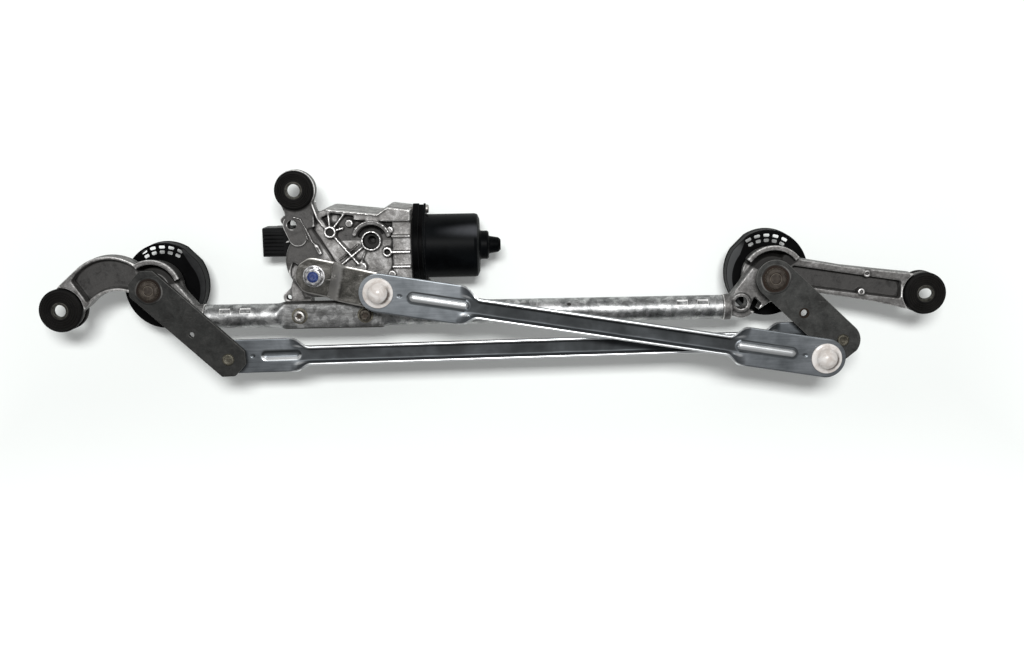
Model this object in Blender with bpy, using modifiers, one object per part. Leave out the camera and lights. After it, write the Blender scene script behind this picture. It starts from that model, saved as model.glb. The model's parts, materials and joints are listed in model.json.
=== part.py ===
# Wiper linkage: two cast pivot housings joined by a steel tube, a geared motor
# screwed to the tube, and the crank, levers and pressed links that it drives.
# X runs along the two pivots, Z along their axes, cranks on top and wiper ends down.

import math

import bmesh
import bpy
from mathutils import Vector

# Fits
SEAT_GAP = 0.0003          # between pieces that touch
RUN_GAP = 0.0003           # between faces that slide or turn
PAST = 0.0020              # how far a cutter reaches past a face

# Pivots and levers
PIVOT_SPAN = 0.5630        # distance between the two wiper pivots
LEVER_BOTTOM = 0.0880      # height of the levers over the spindle tips
LEVER_THICKNESS = 0.0050
LEFT_LEVER_REACH = 0.0935  # pivot to tie link stud
LEFT_LEVER_ANGLE = -43.3
LEFT_LEVER_HALF = 0.0160
REAR_STUD_REACH = 0.0840   # right pivot to tie link stud
REAR_STUD_ANGLE = -42.8
FRONT_STUD_REACH = 0.0845  # right pivot to drive link stud
FRONT_STUD_ANGLE = -58.0
RIGHT_LEVER_HALF = 0.0172
LEVER_END_MARGIN = 0.0128  # lever stock past a stud
LEVER_EYELET_RADIUS = 0.0031
LEVER_EYELET_REACH = 0.0545
SPINDLE_RADIUS = 0.0060
SPINDLE_HEAD_RADIUS = 0.0093
SPINDLE_COLLAR_RADIUS = 0.0090
SPINDLE_COLLAR_HEIGHT = 0.0030
SPINDLE_THREAD_RADIUS = 0.0040
SPINDLE_THREAD_LENGTH = 0.0110
SPINDLE_CONE_LENGTH = 0.0100
CIRCLIP_RADIUS = 0.0088
CIRCLIP_THICKNESS = 0.0012
WASHER_RADIUS = 0.0098
WASHER_THICKNESS = 0.0010

# Ball studs and sockets
BALL_RADIUS = 0.0075
BALL_NECK_RADIUS = 0.0045
STUD_COLLAR_RADIUS = 0.0080
STUD_COLLAR_HEIGHT = 0.0013
STUD_SHANK_RADIUS = 0.0040
RIVET_HEAD_RADIUS = 0.0057
RIVET_HEAD_HEIGHT = 0.0014
FRONT_BALL_RISE = 0.0090   # drive link ball centre over the lever and crank faces
REAR_BALL_DROP = 0.0115    # tie link ball centre under the levers
SOCKET_WALL = 0.0023
SOCKET_FLANGE_RADIUS = 0.0136
SOCKET_FLANGE_HEIGHT = 0.0020
SOCKET_BODY_RADIUS = 0.0102
SOCKET_MOUTH_RADIUS = 0.0070
SOCKET_SKIRT = 0.0052      # socket body under the ball centre

# Pressed links
LINK_SHEET = 0.0022
DRIVE_LINK_HALF = 0.0172   # half the flat end plate
DRIVE_FLOOR_HALF = 0.0070  # half the channel floor
TIE_LINK_HALF = 0.0152
TIE_FLOOR_HALF = 0.0068
DRIVE_PLATE_LENGTH = 0.0745 # ball centre to the start of the folded neck
TIE_PLATE_LENGTH = 0.0560
LINK_NECK_LENGTH = 0.0170
LINK_BEAD_START = 0.0280
LINK_BEAD_OVERRUN = 0.0110 # bead's end past the start of the neck
LINK_BEAD_RAMP = 0.0060
LINK_BEAD_HALF = 0.0056
LINK_BEAD_HEIGHT = 0.0022

# Motor crank
OUTPUT_FROM_PIVOT = (0.1474, 0.0092)  # motor output axis from the left pivot
OUTPUT_AXIS = (OUTPUT_FROM_PIVOT[0] - PIVOT_SPAN / 2, OUTPUT_FROM_PIVOT[1])
CRANK_REACH = 0.0610
CRANK_ANGLE = -13.1
CRANK_HALF = 0.0165
CRANK_SHEET = 0.0040
CRANK_HUB_BOTTOM = 0.0790
CRANK_BEND_START = 0.0165
CRANK_BEND_LENGTH = 0.0115
OUTPUT_SHAFT_RADIUS = 0.0060
OUTPUT_THREAD_RADIUS = 0.0040
NUT_ACROSS_FLATS = 0.0140
NUT_HEIGHT = 0.0052
NUT_FLANGE_RADIUS = 0.0088
NUT_FLANGE_HEIGHT = 0.0014

# Tube
TUBE_RADIUS = 0.0110
TUBE_WALL = 0.0015
TUBE_AXIS_Y = -0.0278
TUBE_AXIS_Z = 0.0700
TUBE_LEFT_INSET = 0.0453    # tube end inboard of the left pivot
TUBE_RIGHT_INSET = 0.0445
TUBE_LEFT_END = TUBE_LEFT_INSET - PIVOT_SPAN / 2
TUBE_RIGHT_END = PIVOT_SPAN / 2 - TUBE_RIGHT_INSET
FLAT_LEFT_REACH = 0.0281   # pressed length that carries the motor, from the output axis
FLAT_RIGHT_REACH = 0.0579
FLAT_LEFT = OUTPUT_AXIS[0] - FLAT_LEFT_REACH
FLAT_RIGHT = OUTPUT_AXIS[0] + FLAT_RIGHT_REACH
FLAT_HALF_HEIGHT = 0.0070
FLAT_HALF_WIDTH = 0.0125
FLAT_RAMP = 0.0090
TUBE_HOLE_INSET = 0.3328   # small hole from the left end of the tube
TUBE_HOLE_RADIUS = 0.0020
TUBE_HOLE_TILT = 37.0
CRIMP_LENGTH = 0.0090
CRIMP_WIDTH = 0.0045
CRIMP_DEPTH = 0.0009
CRIMP_INSET = 0.0185       # first crimp from the tube end
CRIMP_PITCH = 0.0188
CRIMP_TILT = 35.0

# Pivot housings
BUSH_WALL = 0.0017
BUSH_LENGTH = 0.0110
SLEEVE_TOP = 0.0842
SLEEVE_BOTTOM = 0.0260
SLEEVE_RADIUS = 0.0125
COLLAR_RADIUS = 0.0155
COLLAR_BOTTOM = 0.0503     # seat of the cover on the housing
FLOOR_TOP = 0.0660
FLOOR_BOTTOM = 0.0580
GUARD_TOP = 0.0862
GUARD_WALL = 0.0040
LEFT_GUARD_RADIUS = 0.0230
LEFT_GUARD_ARC = (20.0, 124.0)
RIGHT_GUARD_RADIUS = 0.0250
RIGHT_GUARD_ARC = (38.0, 145.0)
ARM_BOTTOM = 0.0620
ARM_TOP = 0.0780
ARM_WEB_TOP = 0.0680
ARM_RIM = 0.0050
LEFT_CROWN = (-0.0405, -0.0120)  # middle of the left arm's outer arc, from the pivot
LEFT_CROWN_RADIUS = 0.0428
LEFT_BELLY = (-0.0335, -0.0350)
LEFT_BELLY_RADIUS = 0.0330
ARM_PAD_RADIUS = 0.0030
ARM_PAD_RISE = 0.0008
ARM_PADS = ((-0.0532, 0.0191), (-0.0580, 0.0025))  # from the right eye
SPIGOT_LENGTH = 0.0420
FOOT_RADIUS = 0.0125
FOOT_INSET = 0.0170        # foot centre from the tube end
FOOT_LIFT = 0.0025         # foot centre towards the pivots from the tube axis
FOOT_HOLE_RADIUS = 0.0045
FOOT_HALF_THICKNESS = 0.0090
FOOT_ROOT_RADIUS = 0.0190
FOOT_WINDOW = ((-0.0070, -0.0050), (-0.0120, 0.0075), (-0.0185, 0.0010), (-0.0135, -0.0070))  # inboard is +X
SHOULDER_LENGTH = 0.0080
SHOULDER_RISE = 0.0008

# Mount eyes and grommets
LEFT_EYE_OFFSET = (-0.0861, -0.0186)   # from the left pivot
RIGHT_EYE_OFFSET = (0.1393, -0.0178)   # from the right pivot
TOP_EYE_OFFSET = (-0.0174, 0.0785)     # from the output axis
LEFT_EYE = (LEFT_EYE_OFFSET[0] - PIVOT_SPAN / 2, LEFT_EYE_OFFSET[1])
RIGHT_EYE = (RIGHT_EYE_OFFSET[0] + PIVOT_SPAN / 2, RIGHT_EYE_OFFSET[1])
TOP_EYE = (OUTPUT_AXIS[0] + TOP_EYE_OFFSET[0], OUTPUT_AXIS[1] + TOP_EYE_OFFSET[1])
EYE_RING_RADIUS = 0.0185
EYE_HOLE_RADIUS = 0.0130
EYE_BOTTOM = 0.0640
EYE_TOP = 0.0740
GROMMET_FLANGE = 0.0060
GROMMET_ROOM = 0.0035      # free space under the lower flange
LEFT_GROMMET_RADIUS = 0.0200
RIGHT_GROMMET_RADIUS = 0.0192
TOP_GROMMET_RADIUS = 0.0178
SPACER_RADIUS = 0.0075
SPACER_WALL = 0.0015

# Pivot covers
COVER_RADIUS = 0.0399      # of the oval along Y
COVER_NARROW = 0.95        # width of the oval to its length
COVER_SHIFT = 0.0014       # middle of the oval from the pivot along Y
COVER_WALL = 0.0016
COVER_RIM_Z = 0.0340
COVER_FLAT = 0.0389        # distance of the flat side from the middle
COVER_FLAT_TURN = 44.0     # the flat faces inboard of +Y by this angle
COVER_HUB_LENGTH = 0.0120
GRILLE_ROWS = ((0.0299, 0.0331), (0.0353, 0.0383))
GRILLE_COLUMNS = 5
GRILLE_PITCH = 13.8
GRILLE_WINDOW = 8.4

# Motor
MOTOR_AXIS_Z = 0.0450
GEAR_TEETH = 45
GEAR_PITCH_RADIUS = 0.0180
GEAR_ADDENDUM = 0.0007
GEAR_DEDENDUM = 0.0010
GEAR_FACE = 0.0090
TOOTH_SHARE = 0.40         # tooth thickness as a share of the pitch
FLANK_ANGLE = 20.0
WORM_PITCH_RADIUS = 0.0040
WORM_ROOT_RADIUS = 0.0029
WORM_TURNS = 5
ARMATURE_SHAFT_RADIUS = 0.0030
YOKE_RADIUS = 0.0295
YOKE_WALL = 0.0025
YOKE_LENGTH = 0.0512
YOKE_BOSS_RADIUS = 0.0132
YOKE_BOSS_LENGTH = 0.0085
YOKE_TIP_RADIUS = 0.0080
YOKE_TIP_LENGTH = 0.0110
FLANGE_LUG_OFFSET = 0.0345
FLANGE_LUG_RADIUS = 0.0052
YOKE_FLANGE_THICKNESS = 0.0020
HOLDER_THICKNESS = 0.0094
HOLDER_FLOOR = 0.0040
CASE_REACH = 0.0884        # output axis to the motor end of the gear case
CASE_RIGHT_X = OUTPUT_AXIS[0] + CASE_REACH
YOKE_FACE_X = CASE_RIGHT_X + SEAT_GAP + HOLDER_THICKNESS + SEAT_GAP
MAGNET_THICKNESS = 0.0050
MAGNET_SPAN = 124.0
MAGNET_LENGTH = 0.0340
ARMATURE_GAP = 0.0008
ARMATURE_LENGTH = 0.0260
COMMUTATOR_RADIUS = 0.0090
COMMUTATOR_LENGTH = 0.0090

# Gear housing
CASE_BOTTOM = 0.0083
CASE_ROUND_PLACE = (0.0020, 0.0120)  # middle of the round end, from the output axis as all places of the case
CASE_ROUND_RADIUS = 0.0312
CASE_ROUND_ARC = (128.0, 234.0)
CASE_FRONT = 0.0232
CASE_REAR = 0.0620
CASE_PEAK = (0.0730, 0.0645)
CASE_DIP = (0.0640, 0.0585)
CASE_CREST = (0.0160, 0.0640)
CASE_SHOULDER = (0.0030, 0.0600)
CASE_FRONT_CORNER = 0.0150 # start of the straight front edge
CASE_FLOOR = 0.0640        # sunk top face between the ribs
CASE_DECK = 0.0700         # raised left part of the top face
DECK_CORNERS = ((0.0120, -0.0190), (0.0200, 0.0060), (0.0040, 0.0330), (-0.0060, 0.0480))
DECK_INSET = 0.0015
RIM_INSET = 0.0008
CASE_RIM_TOP = 0.0725
CASE_ROOT = 0.0030         # how far raised features reach into the case
CASE_BORE_RADIUS = 0.0066  # tunnel of the worm
CHAMBER_RADIUS = 0.0203
CHAMBER_TOP = 0.0520
OUTPUT_BOSS_RADIUS = 0.0140
OUTPUT_BOSS_TOP = 0.0776
RIB_WIDTH = 0.0022
RIB_TOP = 0.0730
SCREW_BOSS = (0.0146, 0.0387)
SCREW_BOSS_RADIUS = 0.0060
SCREW_BOSS_BORE = 0.0036
HOLLOW_BOSS = (0.0517, 0.0302)
HOLLOW_BOSS_RADIUS = 0.0096
HOLLOW_BOSS_BORE = 0.0076
END_BOSS = (0.0659, 0.0197)
END_BOSS_RADIUS = 0.0050
END_BOSS_BORE = 0.0026
BOW_RIB_RADIUS = 0.0161
BOW_RIB_ARC = (35.0, 150.0)
CASE_PADS = ((0.0321, 0.0464, 0.0040), (0.0688, 0.0396, 0.0036), (0.0418, 0.0058, 0.0054),
             (0.0698, -0.0008, 0.0040))
FAN_RIB_ENDS = ((0.0050, 0.0560), (0.0150, 0.0590), (0.0270, 0.0560), (0.0405, 0.0080))
CROSS_RIB = ((0.0270, 0.0110), (0.0470, 0.0300))
END_RIBS = (0.0338, 0.0194, 0.0060)  # how far back each one stands
END_RIB_LENGTH = 0.0180
CASE_EARS = ((-0.0271, -0.0217, 0.0055, 0.0022), (-0.0196, 0.0468, 0.0062, 0.0027))  # place, radius, bore
CASE_EAR_DEPTH = 0.0078
CASE_EAR_DROP = 0.0022     # top of an ear under the sunk face
COVER_SCREW = (-0.0120, 0.0315)
COVER_SCREW_INSET = (0.0080, 0.0072, 0.0070)  # from the motor end, the front and the rear edge
COVER_PLATE = 0.0030
COVER_SHELL_TOP = 0.0080
COVER_SHELL_WALL = 0.0030
PLUG_REACH = 0.0554        # output axis to the mouth of the plug socket
PLUG_LENGTH = 0.0262
PLUG_TONGUE_LENGTH = 0.0130
PLUG_WIDTH = 0.0270
PLUG_OFFSET_Y = 0.0158
PLUG_LEFT_X = OUTPUT_AXIS[0] - PLUG_REACH
PLUG_RIGHT_X = PLUG_LEFT_X + PLUG_LENGTH
PLUG_LOW_Y = OUTPUT_AXIS[1] + PLUG_OFFSET_Y
PLUG_HIGH_Y = PLUG_LOW_Y + PLUG_WIDTH
PLUG_BOTTOM = 0.0120
PLUG_TOP = 0.0400
PLUG_WALL = 0.0020
PLUG_MOUTH_DEPTH = 0.0170

# Screws
SCREW_RADIUS = 0.0028
SCREW_HEAD_RADIUS = 0.0056
SCREW_HEAD_HEIGHT = 0.0042
SCREW_RECESS_DEPTH = 0.0018
TUBE_SCREW_LEFT_X = OUTPUT_AXIS[0] - 0.0156
TUBE_SCREW_RIGHT_X = OUTPUT_AXIS[0] + 0.0446
TUBE_SCREW_LENGTH = 0.0300
TUBE_PAD_RADIUS = 0.0090
TUBE_PAD_BOTTOM = 0.0400
SMALL_SCREW_RADIUS = 0.0020
SMALL_SCREW_HEAD_RADIUS = 0.0040
SMALL_SCREW_HEAD_HEIGHT = 0.0024
SMALL_SCREW_LENGTH = 0.0140

ROUND = 18                 # sides of a turned piece
FINE = 22
SMALL = 10
RING_SIDES = 14

LEVER_TOP = LEVER_BOTTOM + LEVER_THICKNESS
LEFT_PIVOT = (-PIVOT_SPAN / 2, 0.0)
RIGHT_PIVOT = (PIVOT_SPAN / 2, 0.0)
FRONT_BALL_Z = LEVER_TOP + FRONT_BALL_RISE
REAR_BALL_Z = LEVER_BOTTOM - REAR_BALL_DROP
BUSH_RADIUS = SPINDLE_RADIUS + RUN_GAP + BUSH_WALL
WORM_Y = OUTPUT_AXIS[1] + GEAR_PITCH_RADIUS + WORM_PITCH_RADIUS
CRANK_TOP = LEVER_TOP


def clear_scene():
    for thing in list(bpy.data.objects):
        bpy.data.objects.remove(thing)


def polar(radius, degrees, centre=(0.0, 0.0)):
    angle = math.radians(degrees)
    return (centre[0] + radius * math.cos(angle), centre[1] + radius * math.sin(angle))


def arc(centre, radius, start, end, step=15.0):
    count = max(2, int(math.ceil(abs(end - start) / step)) + 1)
    turns = [start + (end - start) * i / (count - 1) for i in range(count)]
    return [polar(radius, turn, centre) for turn in turns]


def bore_of(radius, sides=SMALL):
    # Corner radius of a bore whose flat faces stay clear of the given radius.
    return radius / math.cos(math.pi / sides)


def circle(centre, radius, sides=ROUND):
    return [polar(radius, 360.0 * i / sides, centre) for i in range(sides)]


def hull(circles, sides=ROUND):
    # Outline of a belt drawn tight round circles given as x, y, radius.
    points = sorted({p for x, y, r in circles for p in circle((x, y), r, sides)})

    def half(ordered):
        chain = []
        for p in ordered:
            while len(chain) > 1:
                (ax, ay), (bx, by) = chain[-2], chain[-1]
                if (bx - ax) * (p[1] - ay) - (by - ay) * (p[0] - ax) > 1e-9:
                    break
                chain.pop()
            chain.append(p)
        return chain[:-1]

    return half(points) + half(points[::-1])


def filleted(corners, step=40.0):
    # Outline with a round corner at each x, y, radius.
    points = []
    for i, (x, y, radius) in enumerate(corners):
        here = Vector((x, y))
        before = (Vector(corners[i - 1][:2]) - here).normalized()
        after = (Vector(corners[(i + 1) % len(corners)][:2]) - here).normalized()
        opening = before.angle(after)
        if radius <= 0.0 or opening > math.radians(175.0):
            points.append((x, y))
            continue
        centre = here + (before + after).normalized() * (radius / math.sin(opening / 2))
        tangent = radius / math.tan(opening / 2)
        first = here + before * tangent - centre
        last = here + after * tangent - centre
        sweep = first.angle_signed(last)
        count = max(2, int(math.ceil(abs(math.degrees(sweep)) / step)) + 1)
        heading = math.atan2(first.y, first.x)
        for k in range(count):
            turn = heading - sweep * k / (count - 1)
            points.append((centre.x + radius * math.cos(turn), centre.y + radius * math.sin(turn)))
    return points


class Body:
    # Pieces that move together hang on one empty, which stands on their joint's axis.
    def __init__(self, name, parent, location=(0.0, 0.0, 0.0), turn=0.0):
        self.empty = bpy.data.objects.new(name, None)
        parts.objects.link(self.empty)
        self.empty.parent = parent
        self.empty.location = location
        self.empty.rotation_euler = (0.0, 0.0, math.radians(turn))

    def add(self, name, mesh, finish, location=(0.0, 0.0, 0.0), rotation=(0.0, 0.0, 0.0)):
        piece = bpy.data.objects.new(name, mesh)
        parts.objects.link(piece)
        mesh.materials.append(material(name, *finish))
        return self.place(piece, location, rotation)

    def tool(self, name, mesh, location=(0.0, 0.0, 0.0), rotation=(0.0, 0.0, 0.0)):
        piece = bpy.data.objects.new(name, mesh)
        cutters.objects.link(piece)
        piece.hide_render = True
        piece.display_type = "WIRE"
        return self.place(piece, location, rotation)

    def place(self, piece, location, rotation):
        piece.parent = self.empty
        piece.location = location
        piece.rotation_euler = [math.radians(turn) for turn in rotation]
        return piece


def material(name, colour, roughness, metallic):
    surface = bpy.data.materials.new(name)
    surface.use_nodes = True
    shader = surface.node_tree.nodes["Principled BSDF"]
    shader.inputs["Base Color"].default_value = (*colour, 1.0)
    shader.inputs["Roughness"].default_value = roughness
    shader.inputs["Metallic"].default_value = metallic
    return surface


CAST = ((0.46, 0.46, 0.45), 0.55, 0.9)
GALVANISED = ((0.62, 0.62, 0.60), 0.40, 1.0)
DARK_STEEL = ((0.17, 0.17, 0.16), 0.50, 0.8)
ZINC = ((0.36, 0.39, 0.43), 0.38, 0.9)
BRIGHT = ((0.60, 0.58, 0.55), 0.35, 1.0)
OLIVE = ((0.27, 0.24, 0.20), 0.45, 0.9)
RUBBER = ((0.02, 0.02, 0.02), 0.80, 0.0)
BLACK_PAINT = ((0.02, 0.02, 0.02), 0.35, 0.0)
BLACK_PLASTIC = ((0.03, 0.03, 0.03), 0.50, 0.0)
NYLON = ((0.82, 0.80, 0.74), 0.30, 0.0)
BRONZE = ((0.50, 0.34, 0.16), 0.40, 1.0)
FERRITE = ((0.10, 0.10, 0.10), 0.70, 0.0)


def prism(outline, bottom, top, holes=()):
    # Flat outline with holes, filled and extruded between two heights.
    curve = bpy.data.curves.new("outline", "CURVE")
    curve.dimensions = "2D"
    curve.fill_mode = "BOTH"
    curve.extrude = (top - bottom) / 2
    for loop in (outline, *holes):
        spline = curve.splines.new("POLY")
        spline.points.add(len(loop) - 1)
        for point, (x, y) in zip(spline.points, loop):
            point.co = (x, y, 0.0, 1.0)
        spline.use_cyclic_u = True
    carrier = bpy.data.objects.new("outline", curve)
    cutters.objects.link(carrier)
    depsgraph = bpy.context.evaluated_depsgraph_get()
    mesh = bpy.data.meshes.new_from_object(carrier.evaluated_get(depsgraph))
    bpy.data.objects.remove(carrier)
    bpy.data.curves.remove(curve)
    return welded(mesh, (0.0, 0.0, (top + bottom) / 2))


def welded(mesh, shift=(0.0, 0.0, 0.0)):
    work = bmesh.new()
    work.from_mesh(mesh)
    bmesh.ops.remove_doubles(work, verts=work.verts, dist=1e-6)
    bmesh.ops.dissolve_limit(work, angle_limit=1e-4, verts=work.verts, edges=work.edges)
    bmesh.ops.translate(work, verts=work.verts, vec=shift)
    bmesh.ops.recalc_face_normals(work, faces=work.faces)
    work.to_mesh(mesh)
    work.free()
    mesh.shade_smooth()
    mesh.set_sharp_from_angle(angle=math.radians(35.0))
    return mesh


def box(low, high):
    mesh = bpy.data.meshes.new("box")
    work = bmesh.new()
    bmesh.ops.create_cube(work, size=1.0)
    bmesh.ops.scale(work, verts=work.verts, vec=[b - a for a, b in zip(low, high)])
    bmesh.ops.translate(work, verts=work.verts, vec=[(a + b) / 2 for a, b in zip(low, high)])
    work.to_mesh(mesh)
    work.free()
    return mesh


def cylinder(radius, bottom, top, sides=ROUND, top_radius=None):
    mesh = bpy.data.meshes.new("cylinder")
    work = bmesh.new()
    bmesh.ops.create_cone(
        work, cap_ends=True, segments=sides, depth=top - bottom,
        radius1=radius, radius2=radius if top_radius is None else top_radius)
    bmesh.ops.translate(work, verts=work.verts, vec=(0.0, 0.0, (top + bottom) / 2))
    work.to_mesh(mesh)
    work.free()
    mesh.shade_smooth()
    mesh.set_sharp_from_angle(angle=math.radians(35.0))
    return mesh


def profile_mesh(profile, closed):
    count = len(profile)
    edges = [(i, i + 1) for i in range(count - 1)]
    if closed:
        edges.append((count - 1, 0))
    mesh = bpy.data.meshes.new("profile")
    mesh.from_pydata([(radius, 0.0, height) for radius, height in profile], edges, [])
    return mesh


def turn_round(piece, sides=ROUND):
    screw = piece.modifiers.new("turn", "SCREW")
    screw.steps = sides
    screw.render_steps = sides
    screw.use_merge_vertices = True
    screw.merge_threshold = 1e-5
    screw.use_smooth_shade = True
    return piece


def turned(body, name, profile, finish, location=(0.0, 0.0, 0.0), rotation=(0.0, 0.0, 0.0), sides=ROUND):
    # Profile of radius and height, from the top down the outer side; a bored piece comes back up inside.
    bored = min(radius for radius, _ in profile) > 0.0
    return turn_round(body.add(name, profile_mesh(profile, bored), finish, location, rotation), sides)


def turned_tool(body, name, profile, location=(0.0, 0.0, 0.0), rotation=(0.0, 0.0, 0.0), sides=ROUND):
    bored = min(radius for radius, _ in profile) > 0.0
    return turn_round(body.tool(name, profile_mesh(profile, bored), location, rotation), sides)


def combine(piece, tool, operation):
    modifier = piece.modifiers.new(tool.name, "BOOLEAN")
    modifier.operation = operation
    modifier.object = tool
    modifier.solver = "EXACT"
    return piece


def cut(piece, tool):
    return combine(piece, tool, "DIFFERENCE")


def join(piece, tool):
    return combine(piece, tool, "UNION")


def ball_arc(radius, height, start, end, step=28.0):
    # Profile points on a ball, angles from the equator.
    return [(abs(x), y) for x, y in arc((0.0, height), radius, start, end, step)]


def sheet_mesh(stations):
    # Open surface through rows of points, one row for each station along the sheet.
    rows = len(stations[0])
    vertices = [point for station in stations for point in station]
    faces = []
    for i in range(len(stations) - 1):
        for j in range(rows - 1):
            a = i * rows + j
            faces.append((a, a + rows, a + rows + 1, a + 1))
    mesh = bpy.data.meshes.new("sheet")
    mesh.from_pydata(vertices, [], faces)
    mesh.shade_smooth()
    mesh.set_sharp_from_angle(angle=math.radians(30.0))
    return mesh


def thicken(piece, thickness, offset):
    solid = piece.modifiers.new("thickness", "SOLIDIFY")
    solid.thickness = thickness
    solid.offset = offset
    solid.use_even_offset = True
    return piece


def tidy(piece):
    # Merges flat faces that the joins and cuts left divided.
    flat = piece.modifiers.new("flat", "DECIMATE")
    flat.decimate_type = "DISSOLVE"
    flat.angle_limit = math.radians(0.3)
    return piece


def through_hole(body, piece, name, centre, radius, bottom, top, sides=SMALL, turn=0.0):
    return cut(piece, body.tool(name, cylinder(radius, bottom, top, sides), (*centre, 0.0), (0.0, 0.0, turn)))


def stud_profile(rise, with_shank):
    # Ball, neck and collar standing on a plate face at height 0, with the rivet through the plate.
    profile = ball_arc(BALL_RADIUS, rise, 90.0, -math.degrees(math.acos(BALL_NECK_RADIUS / BALL_RADIUS)))
    profile[0] = (0.0, rise + BALL_RADIUS)
    foot = SEAT_GAP
    collar_top = foot + STUD_COLLAR_HEIGHT
    profile += [(BALL_NECK_RADIUS, collar_top), (STUD_COLLAR_RADIUS, collar_top)]
    profile += [(STUD_COLLAR_RADIUS, foot)]
    if with_shank:
        back = -LEVER_THICKNESS - SEAT_GAP
        profile += [(STUD_SHANK_RADIUS, foot), (STUD_SHANK_RADIUS, back)]
        profile += [(RIVET_HEAD_RADIUS, back), (RIVET_HEAD_RADIUS * 0.8, back - RIVET_HEAD_HEIGHT)]
        profile += [(0.0, back - RIVET_HEAD_HEIGHT)]
    else:
        profile += [(0.0, foot)]
    return profile


def rivet_profile(plate):
    # Shank flush with the stud side of the plate at height 0 and headed on the other side.
    back = -plate - SEAT_GAP
    return [
        (0.0, 0.0), (STUD_SHANK_RADIUS, 0.0), (STUD_SHANK_RADIUS, back), (RIVET_HEAD_RADIUS, back),
        (RIVET_HEAD_RADIUS * 0.8, back - RIVET_HEAD_HEIGHT), (0.0, back - RIVET_HEAD_HEIGHT)]


def socket_profile():
    # Snap-in cap round a ball centred on height 0: domed top, flange on the plate, skirt through its hole.
    outer = BALL_RADIUS + RUN_GAP + SOCKET_WALL
    inner = BALL_RADIUS + RUN_GAP
    flange_top = SEAT_GAP + SOCKET_FLANGE_HEIGHT
    lip = -math.degrees(math.acos(SOCKET_MOUTH_RADIUS / inner))
    profile = ball_arc(outer, 0.0, 90.0, math.degrees(math.asin(flange_top / outer)))
    profile[0] = (0.0, outer)
    profile += [(SOCKET_FLANGE_RADIUS, flange_top * 0.8), (SOCKET_FLANGE_RADIUS, SEAT_GAP)]
    profile += [(SOCKET_BODY_RADIUS, SEAT_GAP), (SOCKET_BODY_RADIUS, -SOCKET_SKIRT)]
    profile += [(BALL_RADIUS + SEAT_GAP, -SOCKET_SKIRT)]
    hollow = ball_arc(inner, 0.0, lip, 90.0)
    hollow[-1] = (0.0, inner)
    return profile + hollow


def spindle(body, name, head_radius):
    collar_top = LEVER_BOTTOM - SEAT_GAP
    collar_bottom = collar_top - SPINDLE_COLLAR_HEIGHT
    head = LEVER_TOP + SEAT_GAP
    groove = SLEEVE_BOTTOM - RUN_GAP - WASHER_THICKNESS - RUN_GAP - CIRCLIP_THICKNESS - RUN_GAP
    groove_radius = SPINDLE_RADIUS - 0.0008
    profile = [
        (0.0, head + 0.0020), (head_radius * 0.62, head + 0.0020), (head_radius * 0.9, head + 0.0012),
        (head_radius, head), (SPINDLE_RADIUS, head), (SPINDLE_RADIUS, collar_top),
        (SPINDLE_COLLAR_RADIUS, collar_top), (SPINDLE_COLLAR_RADIUS, collar_bottom),
        (SPINDLE_RADIUS, collar_bottom), (SPINDLE_RADIUS, groove + CIRCLIP_THICKNESS + 2 * RUN_GAP),
        (groove_radius, groove + CIRCLIP_THICKNESS + 2 * RUN_GAP), (groove_radius, groove),
        (SPINDLE_RADIUS, groove), (SPINDLE_RADIUS, SPINDLE_THREAD_LENGTH + SPINDLE_CONE_LENGTH),
        (SPINDLE_RADIUS - 0.0010, SPINDLE_THREAD_LENGTH), (SPINDLE_THREAD_RADIUS, SPINDLE_THREAD_LENGTH),
        (SPINDLE_THREAD_RADIUS, 0.0008), (SPINDLE_THREAD_RADIUS - 0.0008, 0.0), (0.0, 0.0)]
    turned(body, name + "_spindle", profile, BRIGHT, sides=14)
    ring = groove + RUN_GAP
    circlip = [
        (CIRCLIP_RADIUS, ring + CIRCLIP_THICKNESS), (CIRCLIP_RADIUS, ring),
        (groove_radius + SEAT_GAP, ring), (groove_radius + SEAT_GAP, ring + CIRCLIP_THICKNESS)]
    turned(body, name + "_circlip", circlip, BRIGHT, sides=SMALL)
    top = SLEEVE_BOTTOM - RUN_GAP
    bottom = top - WASHER_THICKNESS
    bore = bore_of(SPINDLE_RADIUS + SEAT_GAP)
    washer = [(WASHER_RADIUS, top), (WASHER_RADIUS, bottom), (bore, bottom), (bore, top)]
    turned(body, name + "_washer", washer, BRIGHT, sides=SMALL)


def left_crank(frame):
    body = Body("left_crank_axis", frame.empty, (*LEFT_PIVOT, 0.0), LEFT_LEVER_ANGLE)
    # Strip with cropped corners at both ends.
    tail = LEFT_LEVER_REACH + LEVER_END_MARGIN
    nose = -LEFT_LEVER_HALF - 0.0018
    crop = LEFT_LEVER_HALF * 0.56
    half = LEFT_LEVER_HALF
    outline = [
        (nose, half - crop), (nose, crop - half), (nose + crop, -half), (tail - crop, -half),
        (tail, crop - half), (tail, half - crop), (tail - crop, half), (nose + crop, half)]
    holes = [circle((0.0, 0.0), SPINDLE_RADIUS + SEAT_GAP)]
    holes.append(circle((LEFT_LEVER_REACH, 0.0), STUD_SHANK_RADIUS + SEAT_GAP, SMALL))
    # The setting hole of the left lever has one flat side.
    holes.append(arc((LEVER_EYELET_REACH, 0.0045), LEVER_EYELET_RADIUS, -50.0, 230.0, 28.0))
    body.add("left_lever", prism(outline, LEVER_BOTTOM, LEVER_TOP, holes), DARK_STEEL)
    spindle(body, "left", SPINDLE_HEAD_RADIUS - 0.0005)
    # The rivet is headed on top of the lever, and its ball hangs in the tie link.
    turned(body, "left_stud_rivet", rivet_profile(LEVER_THICKNESS), BRIGHT,
           (LEFT_LEVER_REACH, 0.0, LEVER_BOTTOM), (180.0, 0.0, 0.0), SMALL)


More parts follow.
